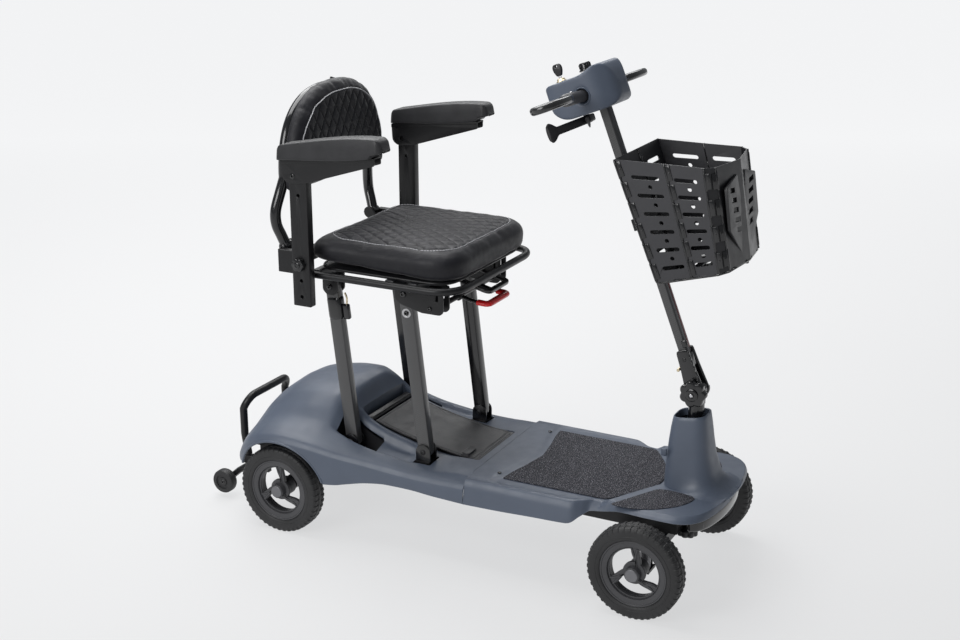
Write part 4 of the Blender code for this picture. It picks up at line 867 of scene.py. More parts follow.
def make_battery():
    """Lid with a groove inside its edge, two lines along its front, a raised latch and a pull bar."""
    ys = [mix(-0.0078, 0.2498, i / 129) for i in range(130)]
    xs = [mix(-LID_HALF, LID_HALF, i / 89) for i in range(90)]

    def dip(x, y):
        edge = min(LID_HALF - abs(x), y + 0.0078, 0.2498 - y)
        groove = math.exp(-((edge - 0.0065) / 0.0016) ** 2)
        front = math.exp(-((y - 0.0060) / 0.0015) ** 2)
        border = 1 - ramp(edge, 0.0, 0.0016)
        return 0.0012 * groove + 0.0010 * front + 0.0012 * border

    rows = [[Vector((x, y, lid_height(y) + 0.0008 - dip(x, y))) for x in xs] for y in ys]
    lid = modified(grid(rows), ("SOLIDIFY", {"thickness": 0.0050, "offset": -1.0}))
    lid = carved(lid, rounded_box((-0.0836, 0.0184, 0.1900), (-0.0444, 0.0396, 0.2300), 0.0065))
    add("battery_cover", lid, "battery", "lid", ["battery_lid"])
    bar = block((2 * LID_HALF - 0.004, 0.0200, 0.0110), (0, 0.2660, 0.2500), 0.0035,
                Matrix.Rotation(math.radians(14), 4, "X"))
    rib = block((2 * LID_HALF - 0.010, 0.0030, 0.0030), (0, 0.2600, 0.2555), 0.0010)
    add("battery_pull_bar", joined(bar, rib), "battery", "satin")
    slope = Matrix.Rotation(math.atan2(0.0090, 0.100), 4, "X")
    button = plate(box_line((-0.0185, -0.0095), (0.0185, 0.0095), 0.0060), 0.0070, (), 0.0016)
    collar = plate(box_line((-0.0215, -0.0118), (0.0215, 0.0118), 0.0070), 0.0022, (), 0.0007)
    place = Matrix.Translation((*LATCH_AT, lid_height(LATCH_AT[1]) + 0.0030)) @ slope
    button.transform(place)
    add("latch_button", button, "battery_latch", "lid", ["battery_latch"])
    collar.transform(Matrix.Translation((*LATCH_AT, lid_height(LATCH_AT[1]) + 0.0012)) @ slope)
    add("latch_collar", collar, "battery", "lid")


# ---- wheels -------------------------------------------------------------------------------------
TRAILING_AXLE = (0.6490, 0.0385)
LUG_COUNT = 46
LUG_SAMPLES = (0.0, 0.07, 0.28, 0.43, 0.50, 0.57, 0.78, 0.93)
TYRE_PROFILE = (  # radius, distance from the middle plane
    (0.0705, 0.0165), (0.0715, 0.0188), (0.0735, 0.0203), (0.0765, 0.0210), (0.0790, 0.0212),
    (0.0796, 0.0218), (0.0806, 0.0218), (0.0812, 0.0213), (0.0850, 0.0213), (0.0885, 0.0210),
    (0.0905, 0.0206), (0.0925, 0.0200), (0.0945, 0.0192), (0.0960, 0.0180), (0.0972, 0.0160),
    (0.0977, 0.0130), (0.0979, 0.0095), (0.0980, 0.0060), (0.0980, 0.0045), (0.0980, 0.0020), (0.0980, 0.0))


def tyre_mesh():
    """Moulded tyre: flat sidewall with a raised line, and blocks that wrap over each shoulder."""
    half = list(TYRE_PROFILE)
    profile = half + [(r, -a) for r, a in reversed(half[:-1])]
    rows = []
    for lug in range(LUG_COUNT):
        for at in LUG_SAMPLES:
            angle = 2 * math.pi * (lug + at) / LUG_COUNT
            ring = []
            for r, a in profile:
                phase = (at + (0.5 if a < 0 else 0.0)) % 1.0
                block_on = 0.05 < phase < 0.45
                shoulder = ramp(r, 0.0895, 0.0915)
                centre = 1 - ramp(abs(a), 0.0025, 0.0042)
                lift = shoulder * max(float(block_on), centre)
                groove = 0.0016 * ramp(abs(a), 0.0044, 0.0052) * (1 - ramp(abs(a), 0.0062, 0.0070))
                radius = r + 0.0012 * lift + 0.0006 * shoulder - groove
                side = a + math.copysign(0.0008 * lift * ramp(abs(a), 0.012, 0.018), a)
                ring.append((radius * math.cos(angle), radius * math.sin(angle), side))
            rows.append(ring)
    return grid(rows, closed_ring=True)


SPOKE_BOW = 5.0
SPOKE_TURN = -36


def spoke_window(start):
    """Outline of the opening between two curved spokes, whose sides bow by SPOKE_BOW degrees."""
    def side(steps, angle_in, angle_out):
        points = []
        for t in steps:
            radius = mix(0.0240, 0.0520, t)
            angle = math.radians(start + mix(angle_in, angle_out, t) + SPOKE_BOW * math.sin(math.pi * t))
            points.append((radius * math.cos(angle), radius * math.sin(angle)))
        return points

    outer = arc((0, 0), 0.0520, start + 15, start + 117, 16)
    inner = arc((0, 0), 0.0240, start + 92, start + 2, 10)
    return outer + side((0.8, 0.6, 0.4, 0.2), 92, 117) + inner + side((0.2, 0.4, 0.6, 0.8), 2, 15)


def rim_mesh():
    """Moulded rim: flange, barrel, three curved spokes with two ribs each, and a long hub."""
    barrel = lathe([(0.0712, 0.0175), (0.0700, 0.0186), (0.0680, 0.0184), (0.0668, 0.0168),
                    (0.0600, 0.0160), (0.0570, 0.0150), (0.0556, 0.0120), (0.0550, 0.0),
                    (0.0556, -0.0130), (0.0600, -0.0165), (0.0690, -0.0175), (0.0712, -0.0170)],
                   (0, 0, 0), (0, 0, 1), 96)
    disc = plate(circle((0, 0), 0.0560, 96), 0.0080, [spoke_window(120 * i) for i in range(3)],
                 0.0012, "Z", 0.0075)
    ribs = []
    for i in range(3):
        for lean, edge in ((119, 3), (133, -3)):
            path = []
            for k in range(13):
                t = k / 12
                radius = mix(0.0150, 0.0545, t)
                bow = SPOKE_BOW * math.sin(math.pi * t)
                angle = math.radians(120 * i + mix(108 + edge, lean, t ** 0.9) + bow)
                path.append((radius * math.cos(angle), radius * math.sin(angle), 0.0110))
            ribs.append(sweep(path, [(-0.0024, -0.0030), (0.0024, -0.0030), (0.0020, 0.0016),
                                     (0.0012, 0.0024), (-0.0012, 0.0024), (-0.0020, 0.0016)]))
    hub = lathe([(0.0, 0.0250), (0.0150, 0.0250), (0.0158, 0.0242), (0.0165, 0.0120), (0.0200, 0.0050),
                 (0.0205, -0.0215), (0.0195, -0.0225), (0.0, -0.0225)], (0, 0, 0), (0, 0, 1), 64)
    return joined(barrel, disc, hub, *ribs)


def make_wheels():
    tyre, rim = tyre_mesh(), rim_mesh()
    cap = lathe([(0.0, 0.0272), (0.0122, 0.0272), (0.0134, 0.0262), (0.0136, 0.0240), (0.0, 0.0240)],
                (0, 0, 0), (0, 0, 1))
    for side, label in SIDES:
        for end, x, y in (("front", FRONT_WHEEL_X, -AXLE_Y), ("rear", REAR_WHEEL_X, AXLE_Y)):
            place = Matrix.Translation((side * x, y, WHEEL_RADIUS)) @ frame_of((side, 0, 0))
            turned = Matrix.Rotation(math.radians(SPOKE_TURN), 4, "Z")
            body = end + "_wheel_" + label
            tag = end + "_" + label
            add("tread_" + tag, moved(tyre, place), body, "rubber", ["tyre_" + tag], 30)
            add("spokes_" + tag, moved(rim, place @ turned), body, "moulding", ["rim_" + tag], 32)
            add("hub_cap_" + tag, moved(cap, place), body, "alloy")
        profile = [(0.0056, -0.0105), (0.0240, -0.0108), (0.0268, -0.0098), (0.0283, -0.0070),
                   (0.0285, 0.0), (0.0283, 0.0070), (0.0268, 0.0098), (0.0240, 0.0108),
                   (0.0175, 0.0108), (0.0168, 0.0085), (0.0110, 0.0085), (0.0102, 0.0104),
                   (0.0056, 0.0104)]
        small = lathe(profile, (side * 0.1265, *TRAILING_AXLE), (side, 0, 0), 64)
        add("trailing_wheel_" + label, small, "anti_tip_wheel_" + label, "rubber",
            ["anti_tip_wheel_" + label])
        bolt_at = (side * 0.1345, *TRAILING_AXLE)
        add("trailing_bolt_" + label, screw(bolt_at, (side, 0, 0), 0.0062, 0.0035), "chassis", "gloss")


# ---- tiller -------------------------------------------------------------------------------------
def head_point(x, forward, up):
    """A point in the head's own frame."""
    return on_tiller(HEAD_BASE + up, forward, x)


KEY_AT = (-0.0300, -0.0588)      # across and forward on the head
HEAD_PLACE = Matrix.Translation(on_tiller(HEAD_BASE)) @ TILLER_TURN
HEAD_SIDE = (((0.0925, 0.0180), 0.014), ((0.0640, -0.0070), 0.034), ((-0.0340, -0.0070), 0.016),
             ((-0.0500, 0.0010), 0.014), ((-0.0540, 0.0260), 0.022), ((-0.0500, 0.0600), 0.022),
             ((-0.0400, 0.0790), 0.016), ((-0.0240, 0.0815), 0.016), ((0.0020, 0.0700), 0.024),
             ((0.0800, 0.0690), 0.010), ((0.0900, 0.0640), 0.010))
HEAD_PLAN = (((0.0, 0.0940), 0.0), ((0.0420, 0.0930), 0.02), ((0.0560, 0.0860), 0.018),
             ((0.0615, 0.0700), 0.02), ((0.0640, 0.0000), 0.03), ((0.0580, -0.0230), 0.028),
             ((0.0330, -0.0510), 0.022), ((0.0, -0.0545), 0.0))


def make_head():
    side = plate(rounded(HEAD_SIDE, 0.01, steps=5), 0.1400, (), 0.0, "X")
    half = [Vector(p) for p in rounded(HEAD_PLAN, 0.01, False, 5)]
    plan = plate(mirrored(half), 0.2400, (), 0.0, "Z", 0.0400)
    body = boolean("INTERSECT", side, plan)
    sockets = [lathe([(0.0, 0.0), (0.0150, 0.0), (0.0170, 0.02), (0.0, 0.02)],
                     (s * 0.0500, 0.0120, 0.0300), (s, 0, 0)) for s, _ in SIDES]
    body = carved(body, *sockets)
    body = modified(body, ("REMESH", {"mode": "VOXEL", "voxel_size": 0.0016}),
                    ("SMOOTH", {"iterations": 26, "factor": 0.6}))
    body.transform(HEAD_PLACE)
    add("head_body", body, "tiller", "slate", ["tiller_head"], 60)
    rings = [lathe([(0.0148, 0.0), (0.0166, 0.0010), (0.0180, 0.0), (0.0180, -0.004), (0.0148, -0.004)],
                   (s * 0.0628, 0.0120, 0.0300), (s, 0, 0)) for s, _ in SIDES]
    seam = block((0.0560, 0.0008, 0.0008), (0, -0.0542, 0.0330), 0.0)
    trim = joined(*rings, seam)
    trim.transform(HEAD_PLACE)
    add("head_trim", trim, "tiller", "slate")
    collar = lathe([(0.0, 0.0), (0.0105, 0.0), (0.0105, 0.0016), (0.0085, 0.0030), (0.0075, 0.0062),
                    (0.0062, 0.0072), (0.0044, 0.0072), (0.0044, 0.0030), (0.0, 0.0030)],
                   head_point(*KEY_AT, 0.0690), TILLER_UP)
    add("key_collar", collar, "tiller", "brass")


def make_handlebars():
    for side, label in SIDES:
        loop = []
        for a in turns(64):
            reach, width = signed(math.cos(a), 0.85), signed(math.sin(a), 0.85)
            loop.append(head_point(side * (0.1890 + 0.0540 * reach), -0.0160 + 0.0260 * width, 0.0330))
        section = [(0.0088 * signed(math.cos(a), 0.8), 0.0080 * signed(math.sin(a), 0.8))
                   for a in turns(20)]
        ring = sweep(loop, section, True, TILLER_UP)
        add("grip_loop_" + label, ring, "tiller", "loop", ["handlebar_" + label])
        start, end = head_point(side * 0.0515, -0.0120, 0.0300), head_point(side * 0.1420, -0.0160, 0.0330)
        length = (end - start).length
        profile = [(0.0, 0.0), (0.0120, 0.0), (0.0120, 0.010), (0.0112, 0.018), (0.0122, 0.040),
                   (0.0128, 0.066), (0.0124, 0.080), (0.0100, length - 0.002), (0.0, length)]
        add("grip_stem_" + label, lathe(profile, start, end - start), "tiller", "moulding")
        bolt = screw(head_point(side * 0.100, -0.0135, 0.0440), TILLER_UP, 0.0030, 0.0016)
        add("grip_stem_screw_" + label, bolt, "tiller", "steel")


def make_throttle():
    """Two paddles on flat strips, either side of a yoke under the head."""
    pivot = head_point(0, -0.0453, 0)
    yoke = tiller_block((0.0300, 0.0240, 0.0150), HEAD_BASE - 0.0170, -0.0453, 0, 0.0035)
    stalk = rod(0.0058, pivot - TILLER_UP * 0.0240, pivot + TILLER_UP * 0.0080)
    solids = [yoke, stalk]
    for side, _ in SIDES:
        path = flowing([head_point(side * x, f, u) for x, f, u in
                        ((0.004, -0.0453, -0.0175), (0.026, -0.0515, -0.0178), (0.052, -0.0665, -0.0185),
                         (0.078, -0.0815, -0.0190))], 8)
        solids.append(sweep(path, bar_section(0.0044, 0.0082), False, TILLER_UP))
        paddle = []
        for k in range(15):
            t = k / 14
            spread_by = 0.0080 + 0.0115 * ramp(t, 0.0, 0.75) * (1 - 0.35 * ramp(t, 0.82, 1.0))
            thick = 0.0034 + 0.0012 * math.sin(math.pi * t)
            centre = head_point(side * mix(0.072, 0.0945, t), mix(-0.0775, -0.0905, t), -0.0190)
            paddle.append([centre + TILLER_UP * (spread_by * math.sin(a)) + TILLER_FORWARD * (
                thick * math.cos(a)) for a in turns(24)])
        solids.append(loft(paddle))
    add("throttle_paddles", joined(*solids), "throttle", "satin", ["throttle_lever"])


def make_dial():
    """Ribbed speed knob with a pointer, on a bezel."""
    face = head_point(0, -0.0143, 0.0742)
    profile = [(0.0, 0.0), (0.0138, 0.0), (0.0145, 0.0012), (0.0138, 0.0034), (0.0118, 0.0042),
               (0.0112, 0.0146), (0.0100, 0.0160), (0.0, 0.0160)]
    ribs = []
    for a in turns(16):
        ribs.append(block((0.0014, 0.0014, 0.0086), (0.0116 * math.cos(a), 0.0116 * math.sin(a), 0.0096),
                          0.0003, Matrix.Rotation(a, 4, "Z"), 1))
    dial = joined(lathe(profile, (0, 0, 0), (0, 0, 1)), *ribs,
                  block((0.0012, 0.0080, 0.0008), (0, 0.0050, 0.0162), 0.0002))
    dial.transform(Matrix.Translation(face) @ TILLER_TURN)
    add("dial_knob", dial, "speed_dial", "gloss", ["speed_dial"])
    base = lathe([(0.0, -0.006), (0.0128, -0.006), (0.0128, -0.0030), (0.0118, -0.0012), (0.0, -0.0012)],
                 face, TILLER_UP)
    add("dial_bezel", base, "tiller", "gloss")


def make_key():
    bow = [(-0.0050, 0.0), (0.0050, 0.0), (0.0068, 0.0040), (0.0095, 0.0110), (0.0095, 0.0190),
           (0.0060, 0.0240), (-0.0060, 0.0240), (-0.0095, 0.0190), (-0.0095, 0.0110), (-0.0068, 0.0040)]
    head = plate(rounded(bow, 0.003), 0.0080, [circle((0, 0.0195), 0.0022, 12)], 0.0016, "X")
    head.transform(Matrix.Translation(head_point(*KEY_AT, 0.0810)) @ TILLER_TURN)
    add("key_bow", head, "ignition_key", "satin", ["ignition_key"])
    blade = block((0.0019, 0.0066, 0.0200), head_point(*KEY_AT, 0.0760), 0.0004, TILLER_TURN)
    add("key_blade", blade, "ignition_key", "steel")


def make_mast():
    """Flat mast with woven flanks and a satin front face, over the cast fork of the tilt hinge."""
    profile = box_line((-0.0130, -0.0090), (0.0130, 0.0090), 0.003)
    rings = []
    for along in (0.066, 0.0665, 0.6030, 0.6038):
        inset = 0.94 if along in (0.066, 0.6038) else 1.0
        rings.append([on_tiller(along, -p.y * inset, p.x * inset) for p in profile])
    add("mast_tube", loft(rings), "tiller", "weave", ["tiller_mast"])
    faces = [tiller_block((0.0195, 0.0012, 0.5220), 0.3420, forward, 0, 0.0005)
             for forward in (0.0092, -0.0092)]
    add("mast_faces", joined(*faces), "tiller", "moulding")
    add("mast_stripe", tiller_block((0.0062, 0.0010, 0.2300), 0.2050, 0.0098, 0.0040, 0.0004), "tiller",
        "stripe")
    outline = rounded([(-0.0190, 0.0)] + [tuple(p) for p in arc((0, 0), 0.0205, 180, 360, 14)]
                      + [(0.0150, 0.0500), (0.0128, 0.0900), (-0.0128, 0.0900), (-0.0150, 0.0500)], 0.006,
                      steps=2)
    cheeks = [plate(outline, 0.0086, (), 0.0016, "X", side * 0.0142) for side, _ in SIDES]
    bridge = block((0.0270, 0.0250, 0.0300), (0, 0, 0.0650), 0.004)
    teeth = [block((0.0060, 0.0030, 0.0080), (-0.0190, -0.0145, 0.020 + 0.0125 * i), 0.0008)
             for i in range(6)]
    teeth.append(block((0.0060, 0.0120, 0.0160), (-0.0190, -0.0120, 0.1020), 0.0025))
    casting = joined(*cheeks, bridge, *teeth)
    casting.transform(Matrix.Translation(TILT_AXIS) @ TILLER_TURN)
    add("tilt_fork", casting, "tiller", "gloss")
    bolts = [screw(on_tiller(0.0420, 0.0, 0.0186), (1, 0, 0), 0.0052),
             screw(on_tiller(0.0700, 0.0, -0.0170), (-1, 0, 0), 0.0045),
             screw(TILT_AXIS + Vector((0.0190, 0, 0)), (1, 0, 0), 0.0085, 0.005)]
    add("tilt_bolts", joined(*bolts), "tiller", "gloss")
    barrel = rod(0.0034, on_tiller(0.0520, -0.0195, -0.0200), on_tiller(0.0520, -0.0195, 0.0120))
    add("tilt_latch_pin", barrel, "tiller", "brass")


def knob_mesh(radius, depth, lobes, boss=1.25):
    """A lobed clamping knob with a raised boss and a capped centre."""
    rings = []
    for reach, z in ((0.80, 0.0), (0.94, 0.05), (1.0, 0.16), (1.0, 0.80), (0.94, 0.94), (0.80, 1.0)):
        ring = []
        for a in turns(lobes * 12):
            wave = 0.5 + 0.5 * math.cos(lobes * a)
            r = radius * reach * (0.84 + 0.16 * wave ** 0.5)
            ring.append(Vector((r * math.cos(a), r * math.sin(a), z * depth)))
        rings.append(ring)
    hub = lathe([(0.0, depth * 0.9), (radius * 0.48, depth * 0.9), (radius * 0.46, depth * boss * 0.96),
                 (radius * 0.40, depth * boss), (radius * 0.22, depth * boss),
                 (radius * 0.18, depth * boss - 0.001), (0.0, depth * boss - 0.001)], (0, 0, 0), (0, 0, 1))
    return joined(loft(rings), hub)


def make_knobs():
    place = Matrix.Translation((-0.0188, TILT_AXIS.y, TILT_AXIS.z)) @ frame_of((-1, 0, 0))
    clamp_screw = screw((-0.0412, TILT_AXIS.y, TILT_AXIS.z), (-1, 0, 0), 0.0042, 0.0022)
    add("tilt_clamp_screw", clamp_screw, "tilt_knob", "steel")
    add("tilt_clamp_knob", moved(knob_mesh(0.0285, 0.0180, 7), place), "tilt_knob", "gloss", ["tilt_knob"])
    for side, label in SIDES:
        place = Matrix.Translation((side * 0.0840, -0.4830, 0.1496)) @ frame_of((0, 0, -1))
        add("frame_clamp_knob_" + label, moved(knob_mesh(0.0220, 0.0150, 8), place),
            "chassis_knob_" + label, "satin", ["chassis_knob_" + label])
        place = Matrix.Translation((side * 0.2329, 0.3380, 0.6370)) @ frame_of((side, 0, 0))
        add("armrest_clamp_knob_" + label, moved(knob_mesh(0.0150, 0.0110, 6), place),
            "armrest_knob_" + label, "gloss", ["armrest_knob_" + label])


# ---- basket -------------------------------------------------------------------------------------
BASKET_TOP_Z = 0.9000
BASKET_TOP = ((0.1160, -0.3130), (0.1130, -0.4130), (0.1150, -0.4920), (0.0980, -0.5090),
              (0.0, -0.5260))
BASKET_BOTTOM = ((0.1100, -0.4070), (0.1080, -0.4765), (0.1070, -0.5290), (0.0910, -0.5450),
                 (0.0, -0.5570))
PANEL_THICKNESS = 0.0024


def basket_floor_z(y):
    return 0.6620 + 0.27 * (-0.4070 - y)


def basket_corner(i, side, top):
    """A corner of the basket, at the rim or at the floor."""
    x, y = (BASKET_TOP if top else BASKET_BOTTOM)[i]
    return Vector((side * x, y, BASKET_TOP_Z if top else basket_floor_z(y) + 0.004))


def basket_panel(low_a, low_b, top_a, top_b, holes=(), outward=(0, 0, 0)):
    """A flat panel between four corners. Holes are (across, up, length, height) as shares and sizes."""
    width, height = (top_b - top_a).length, (top_a - low_a).length
    lines = []
    for across, up, length, tall in holes:
        narrow = mix((low_b - low_a).length, width, up)
        shape = capsule((0, 0), length, tall) if length > tall else circle((0, 0), tall / 2, 14)
        lines.append([Vector((across + p.x / narrow, up + p.y / height)) for p in shape])
    edge = []
    for a, b in (((0.004, 0.0), (0.996, 0.0)), ((0.996, 0.0), (0.996, 1.0)), ((0.996, 1.0), (0.004, 1.0)),
                 ((0.004, 1.0), (0.004, 0.0))):
        edge += [Vector(a).lerp(Vector(b), k / 6) for k in range(6)]
    flat = plate(edge, 0.0, lines, 0.0)
    for vertex in flat.vertices:
        u, v = vertex.co.x, vertex.co.y
        vertex.co = low_a.lerp(low_b, u).lerp(top_a.lerp(top_b, u), v)
    normal = (low_b - low_a).cross(top_a - low_a).normalized()
    if normal.dot(Vector(outward)) < 0:
        flat.flip_normals()
    return modified(flat, ("SOLIDIFY", {"thickness": PANEL_THICKNESS, "offset": -1.0}))


def side_holes(shift, slot):
    """Six slots with five round holes between them."""
    holes = [(shift + 0.010 * i, 0.865 - 0.152 * i, slot - 0.0022 * i, 0.0088) for i in range(6)]
    return holes + [(shift + 0.055 + 0.008 * i, 0.789 - 0.152 * i, 0.0088, 0.0088) for i in range(5)]


def hinge_tabs(foot, head, inward, outward, count=6):
    """Rectangular leaves with a pin, along a folding edge."""
    shapes = [rod(0.0021, foot, head, 0.0004, 16)]
    axis = (head - foot).normalized()
    turn = Matrix((inward, outward, axis)).transposed().to_4x4()
    for i in range(count):
        centre = foot.lerp(head, (i + 0.5) / count)
        shapes.append(block((0.0105, 0.0016, 0.0300), centre + inward * 0.0050 + outward * 0.0010, 0.0005,
                            turn, 2))
        shapes.append(rod(0.0016, centre + inward * 0.0060 + outward * 0.0012,
                          centre + inward * 0.0060 + outward * 0.0030, 0.0003, 12))
        shapes.append(rod(0.0028, centre - axis * 0.018, centre + axis * 0.018, 0.0005, 16))
    return shapes


def make_basket():
    panels, dark, hinges = [], [], []
    for side, _ in SIDES:
        outward = Vector((side, 0, 0))
        low = [basket_corner(i, side, False) for i in range(5)]
        top = [basket_corner(i, side, True) for i in range(5)]
        panels.append(basket_panel(low[0], low[1], top[0], top[1], side_holes(0.53, 0.0560), outward))
        panels.append(basket_panel(low[1], low[2], top[1], top[2], side_holes(0.48, 0.0480), outward))
        # Painted shade: the front panels, and the back ones, go in dark and take the darker satin black,
        # while the side panels take the lighter grey panel finish.
        dark.append(basket_panel(low[2], low[3], top[2], top[3], (), outward + Vector((0, -1, 0))))
        dark.append(basket_panel(low[3], low[4], top[3], top[4], (), Vector((0, -1, 0))))
        for i in range(4):
            along = (low[i + 1] - low[i]).normalized() if i < 2 else (low[i] - low[i - 1]).normalized()
            axis = (top[i] - low[i]).normalized()
            along = (along - axis * along.dot(axis)).normalized()
            face = along.cross(axis).normalized()
            face = face if face.dot(outward) > 0 else -face
            hinges += hinge_tabs(low[i], top[i], along if i < 3 else -along, face, 6 if i < 2 else 4)
    low_r, low_l = basket_corner(0, -1, False), basket_corner(0, 1, False)
    top_r, top_l = basket_corner(0, -1, True), basket_corner(0, 1, True)
    mid_low, mid_top = (low_r + low_l) / 2, (top_r + top_l) / 2
    back_holes = [(0.5, 0.86 - 0.17 * i, 0.0620, 0.0092) for i in range(5)]
    dark.append(basket_panel(low_r, mid_low, top_r, mid_top, back_holes, (0, 1, 0)))
    dark.append(basket_panel(mid_low, low_l, mid_top, top_l, back_holes, (0, 1, 0)))
    hinges += hinge_tabs(mid_low + Vector((0, -0.003, 0)), mid_top + Vector((0, -0.003, 0)),
                         Vector((1, 0, 0)), Vector((0, -1, 0)), 4)
    add("basket_sides", joined(*panels), "basket", "panel", ["basket"])
    # The darker finish of the front and back panels is painted shade.
    add("basket_front_and_back", joined(*dark), "basket", "satin")
    add("basket_hinges", joined(*hinges), "basket", "gloss")
    add("basket_floor_plate", basket_floor(), "basket", "gloss")


def basket_floor():
    """Floor plate that stands slightly proud of the panels, with slots through it."""
    outline = [Vector((x * 0.995, y)) for x, y in BASKET_BOTTOM]
    full = mirrored(outline)
    slots = [capsule((x, y), 0.060, 0.008) for y in (-0.435, -0.465, -0.495, -0.522) for x in (-0.045, 0.045)]
    floor = plate(full, 0.0030, slots, 0.0006)
    for vertex in floor.vertices:
        vertex.co.z += basket_floor_z(vertex.co.y) + 0.0010
    return floor


def lamp_arm(side):
    """One slanted slab of the lamp, with five windows."""
    corners = ((0.0150, 0.8760), (0.0560, 0.8620), (0.0560, 0.7900), (0.0005, 0.7150), (0.0005, 0.8000))
    outline = [Vector((side * x, z)) for x, z in corners]
    windows = []
    for i in range(5):
        x, z = 0.0375 - 0.0040 * i, 0.8530 - 0.0175 * i
        shape = ((x - 0.0090, z - 0.0050), (x + 0.0090, z - 0.0020), (x + 0.0090, z + 0.0060),
                 (x - 0.0090, z + 0.0030))
        windows.append([Vector((side * px, pz)) for px, pz in shape])
    return plate(rounded(outline, 0.003, steps=3), 0.0085, windows, 0.0010)


def make_lamp():
    stand = Matrix(((1, 0, 0, 0), (0, 0, -1, 0), (0, 1, 0, 0), (0, 0, 0, 1)))
    lean = (Matrix.Translation((0, -0.5250, 0.8780)) @ Matrix.Rotation(math.radians(-8.0), 4, "X")
            @ Matrix.Diagonal((1, 1, 1.14, 1)) @ Matrix.Translation((0, 0, -0.8780))
            @ Matrix.Diagonal((1.55, 0.75, 1.0, 1.0)))
    arms = joined(*[lamp_arm(side) for side, _ in SIDES])
    badge = lathe([(0.0, 0.0), (0.0150, 0.0), (0.0150, 0.0012), (0.0140, 0.0018), (0.0120, 0.0018),
                   (0.0112, 0.0012), (0.0, 0.0014)], (0, 0.7520, 0.0040), (0, 0, 1))
    backing = plate([Vector(p) for p in ((-0.050, 0.858), (0.050, 0.858), (0.050, 0.790), (0.0, 0.722),
                                         (-0.050, 0.790))], 0.0020, (), 0.0004, "Z", -0.0030)
    for name, mesh, finish, hidden in (("lamp_arms", arms, "satin", ["basket_lamp"]),
                                       ("lamp_badge", badge, "moulding", ()),
                                       ("lamp_backing", backing, "gloss", ())):
        mesh.transform(lean @ stand)
        add(name, mesh, "basket", finish, hidden)


# ---- seat ---------------------------------------------------------------------------------------
def make_legs():
    """Flat tube legs from the ears on the chassis up to the hanger plates."""
    for foot, name, body in ((FRONT_FOOT, "front", "front_legs"), (REAR_FOOT, "rear", "rear_legs")):
        top = foot + LEG_RISE
        angle = math.degrees(math.atan2(LEG_RISE.z, LEG_RISE.y))
        outline = (arc((foot.y, foot.z), 0.0152, angle + 90, angle + 270, 14)
                   + arc((top.y, top.z), 0.0152, angle - 90, angle + 90, 14))
        for side, label in SIDES:
            leg = plate(outline, 0.022, (), 0.0032, "X", side * LEG_X)
            # Painted shade: the far legs (left, away from the camera) take the darker gloss black, and the
            # near legs take the lighter woven finish, though the tubes are the same on both sides.
            add(name + "_leg_tube_" + label, leg, body, "weave" if side < 0 else "gloss",
                [name + "_leg_" + label])
    rings, bolts = [], []
    for side, _ in SIDES:
        at = FRONT_FOOT + LEG_RISE * 0.88 + Vector((side * (LEG_X + 0.0110), 0, 0))
        rings.append(lathe([(0.0052, 0.0), (0.0105, 0.0), (0.0105, 0.0014), (0.0098, 0.0020),
                            (0.0060, 0.0020), (0.0052, 0.0014)], at, (side, 0, 0)))
        bolts.append(screw(at, (side, 0, 0), 0.0056, 0.0050))
    add("leg_washers", joined(*rings), "front_legs", "steel")
    add("leg_bolts", joined(*bolts), "front_legs", "gloss")


def make_leg_locks():
    """Sleeve, lock and short cable at the top of each rear leg."""
    for side, label in SIDES:
        top = REAR_FOOT + LEG_RISE * 0.86 + Vector((side * LEG_X, 0, 0))
        turn = Matrix.Rotation(-math.atan2(LEG_RISE.y, LEG_RISE.z), 4, "X")
        sleeve = block((0.0262, 0.0350, 0.0560), top, 0.009, turn)
        lock = block((0.0120, 0.0160, 0.0340), top + Vector((0, -0.0260, -0.0060)), 0.004, turn)
        add("rear_leg_sleeve_" + label, joined(sleeve, lock), "rear_legs", "gloss")
        cable = flowing([top + Vector((0, -0.026, 0.006)), top + Vector((0, -0.027, 0.024)),
                         top + Vector((0, -0.022, 0.036))], 6)
        add("rear_leg_cable_" + label, tube(cable, 0.0022, sides=10), "rear_legs", "brass")


def ear_pair(pivot, x, bottom):
    outline = [Vector((pivot.y - 0.0175, bottom)), Vector((pivot.y + 0.0175, bottom))]
    outline += arc((pivot.y, pivot.z), 0.0175, 0, 180, 18)
    return [plate(outline, 0.0046, (), 0.0010, "X", x + offset) for offset in (-EAR_OFFSET, EAR_OFFSET)]


def make_leg_ears():
    ears, bolts = [], []
    for foot in (FRONT_FOOT, REAR_FOOT):
        for side, _ in SIDES:
            ears += ear_pair(foot, side * LEG_X, foot.z - 0.050)
            for offset in (-1, 1):
                at = (side * LEG_X + offset * (EAR_OFFSET + 0.0022), foot.y, foot.z)
                bolts.append(screw(at, (offset, 0, 0), 0.0062, 0.0032))
    add("foot_ears", joined(*ears), "chassis", "gloss")
    add("foot_bolts", joined(*bolts), "chassis", "satin")


def make_seat_frame():
    """Tube hoop round a pan that lies on cross bars."""
    corners = [(0.195, 0.3605), ((0.195, -0.0050), 0.070), ((-0.195, -0.0050), 0.070), (-0.195, 0.3605)]
    path = [Vector((p.x, p.y, HOOP_Z)) for p in rounded(corners, 0.07, False, 14)]
    hoop = tube(path, 0.0080, sides=24)
    pan_line = box_line((-0.176, 0.018), (0.176, 0.335), 0.055, 10)
    pan = plate(pan_line, 0.0045, (), 0.0012, "Z", HOOP_Z + 0.0115)
    rim = tube([Vector((p.x, p.y, HOOP_Z + 0.0112)) for p in pan_line], 0.0038, True, 12)
    bars = [block((0.390, 0.0200, 0.0190), (0, y, HOOP_Z + 0.0015), 0.0015) for y in (0.09, 0.145, 0.321)]
    add("seat_hoop", joined(hoop, rim), "seat", "coat", ["seat_frame"])
    add("seat_pan", joined(pan, *bars), "seat", "satin")


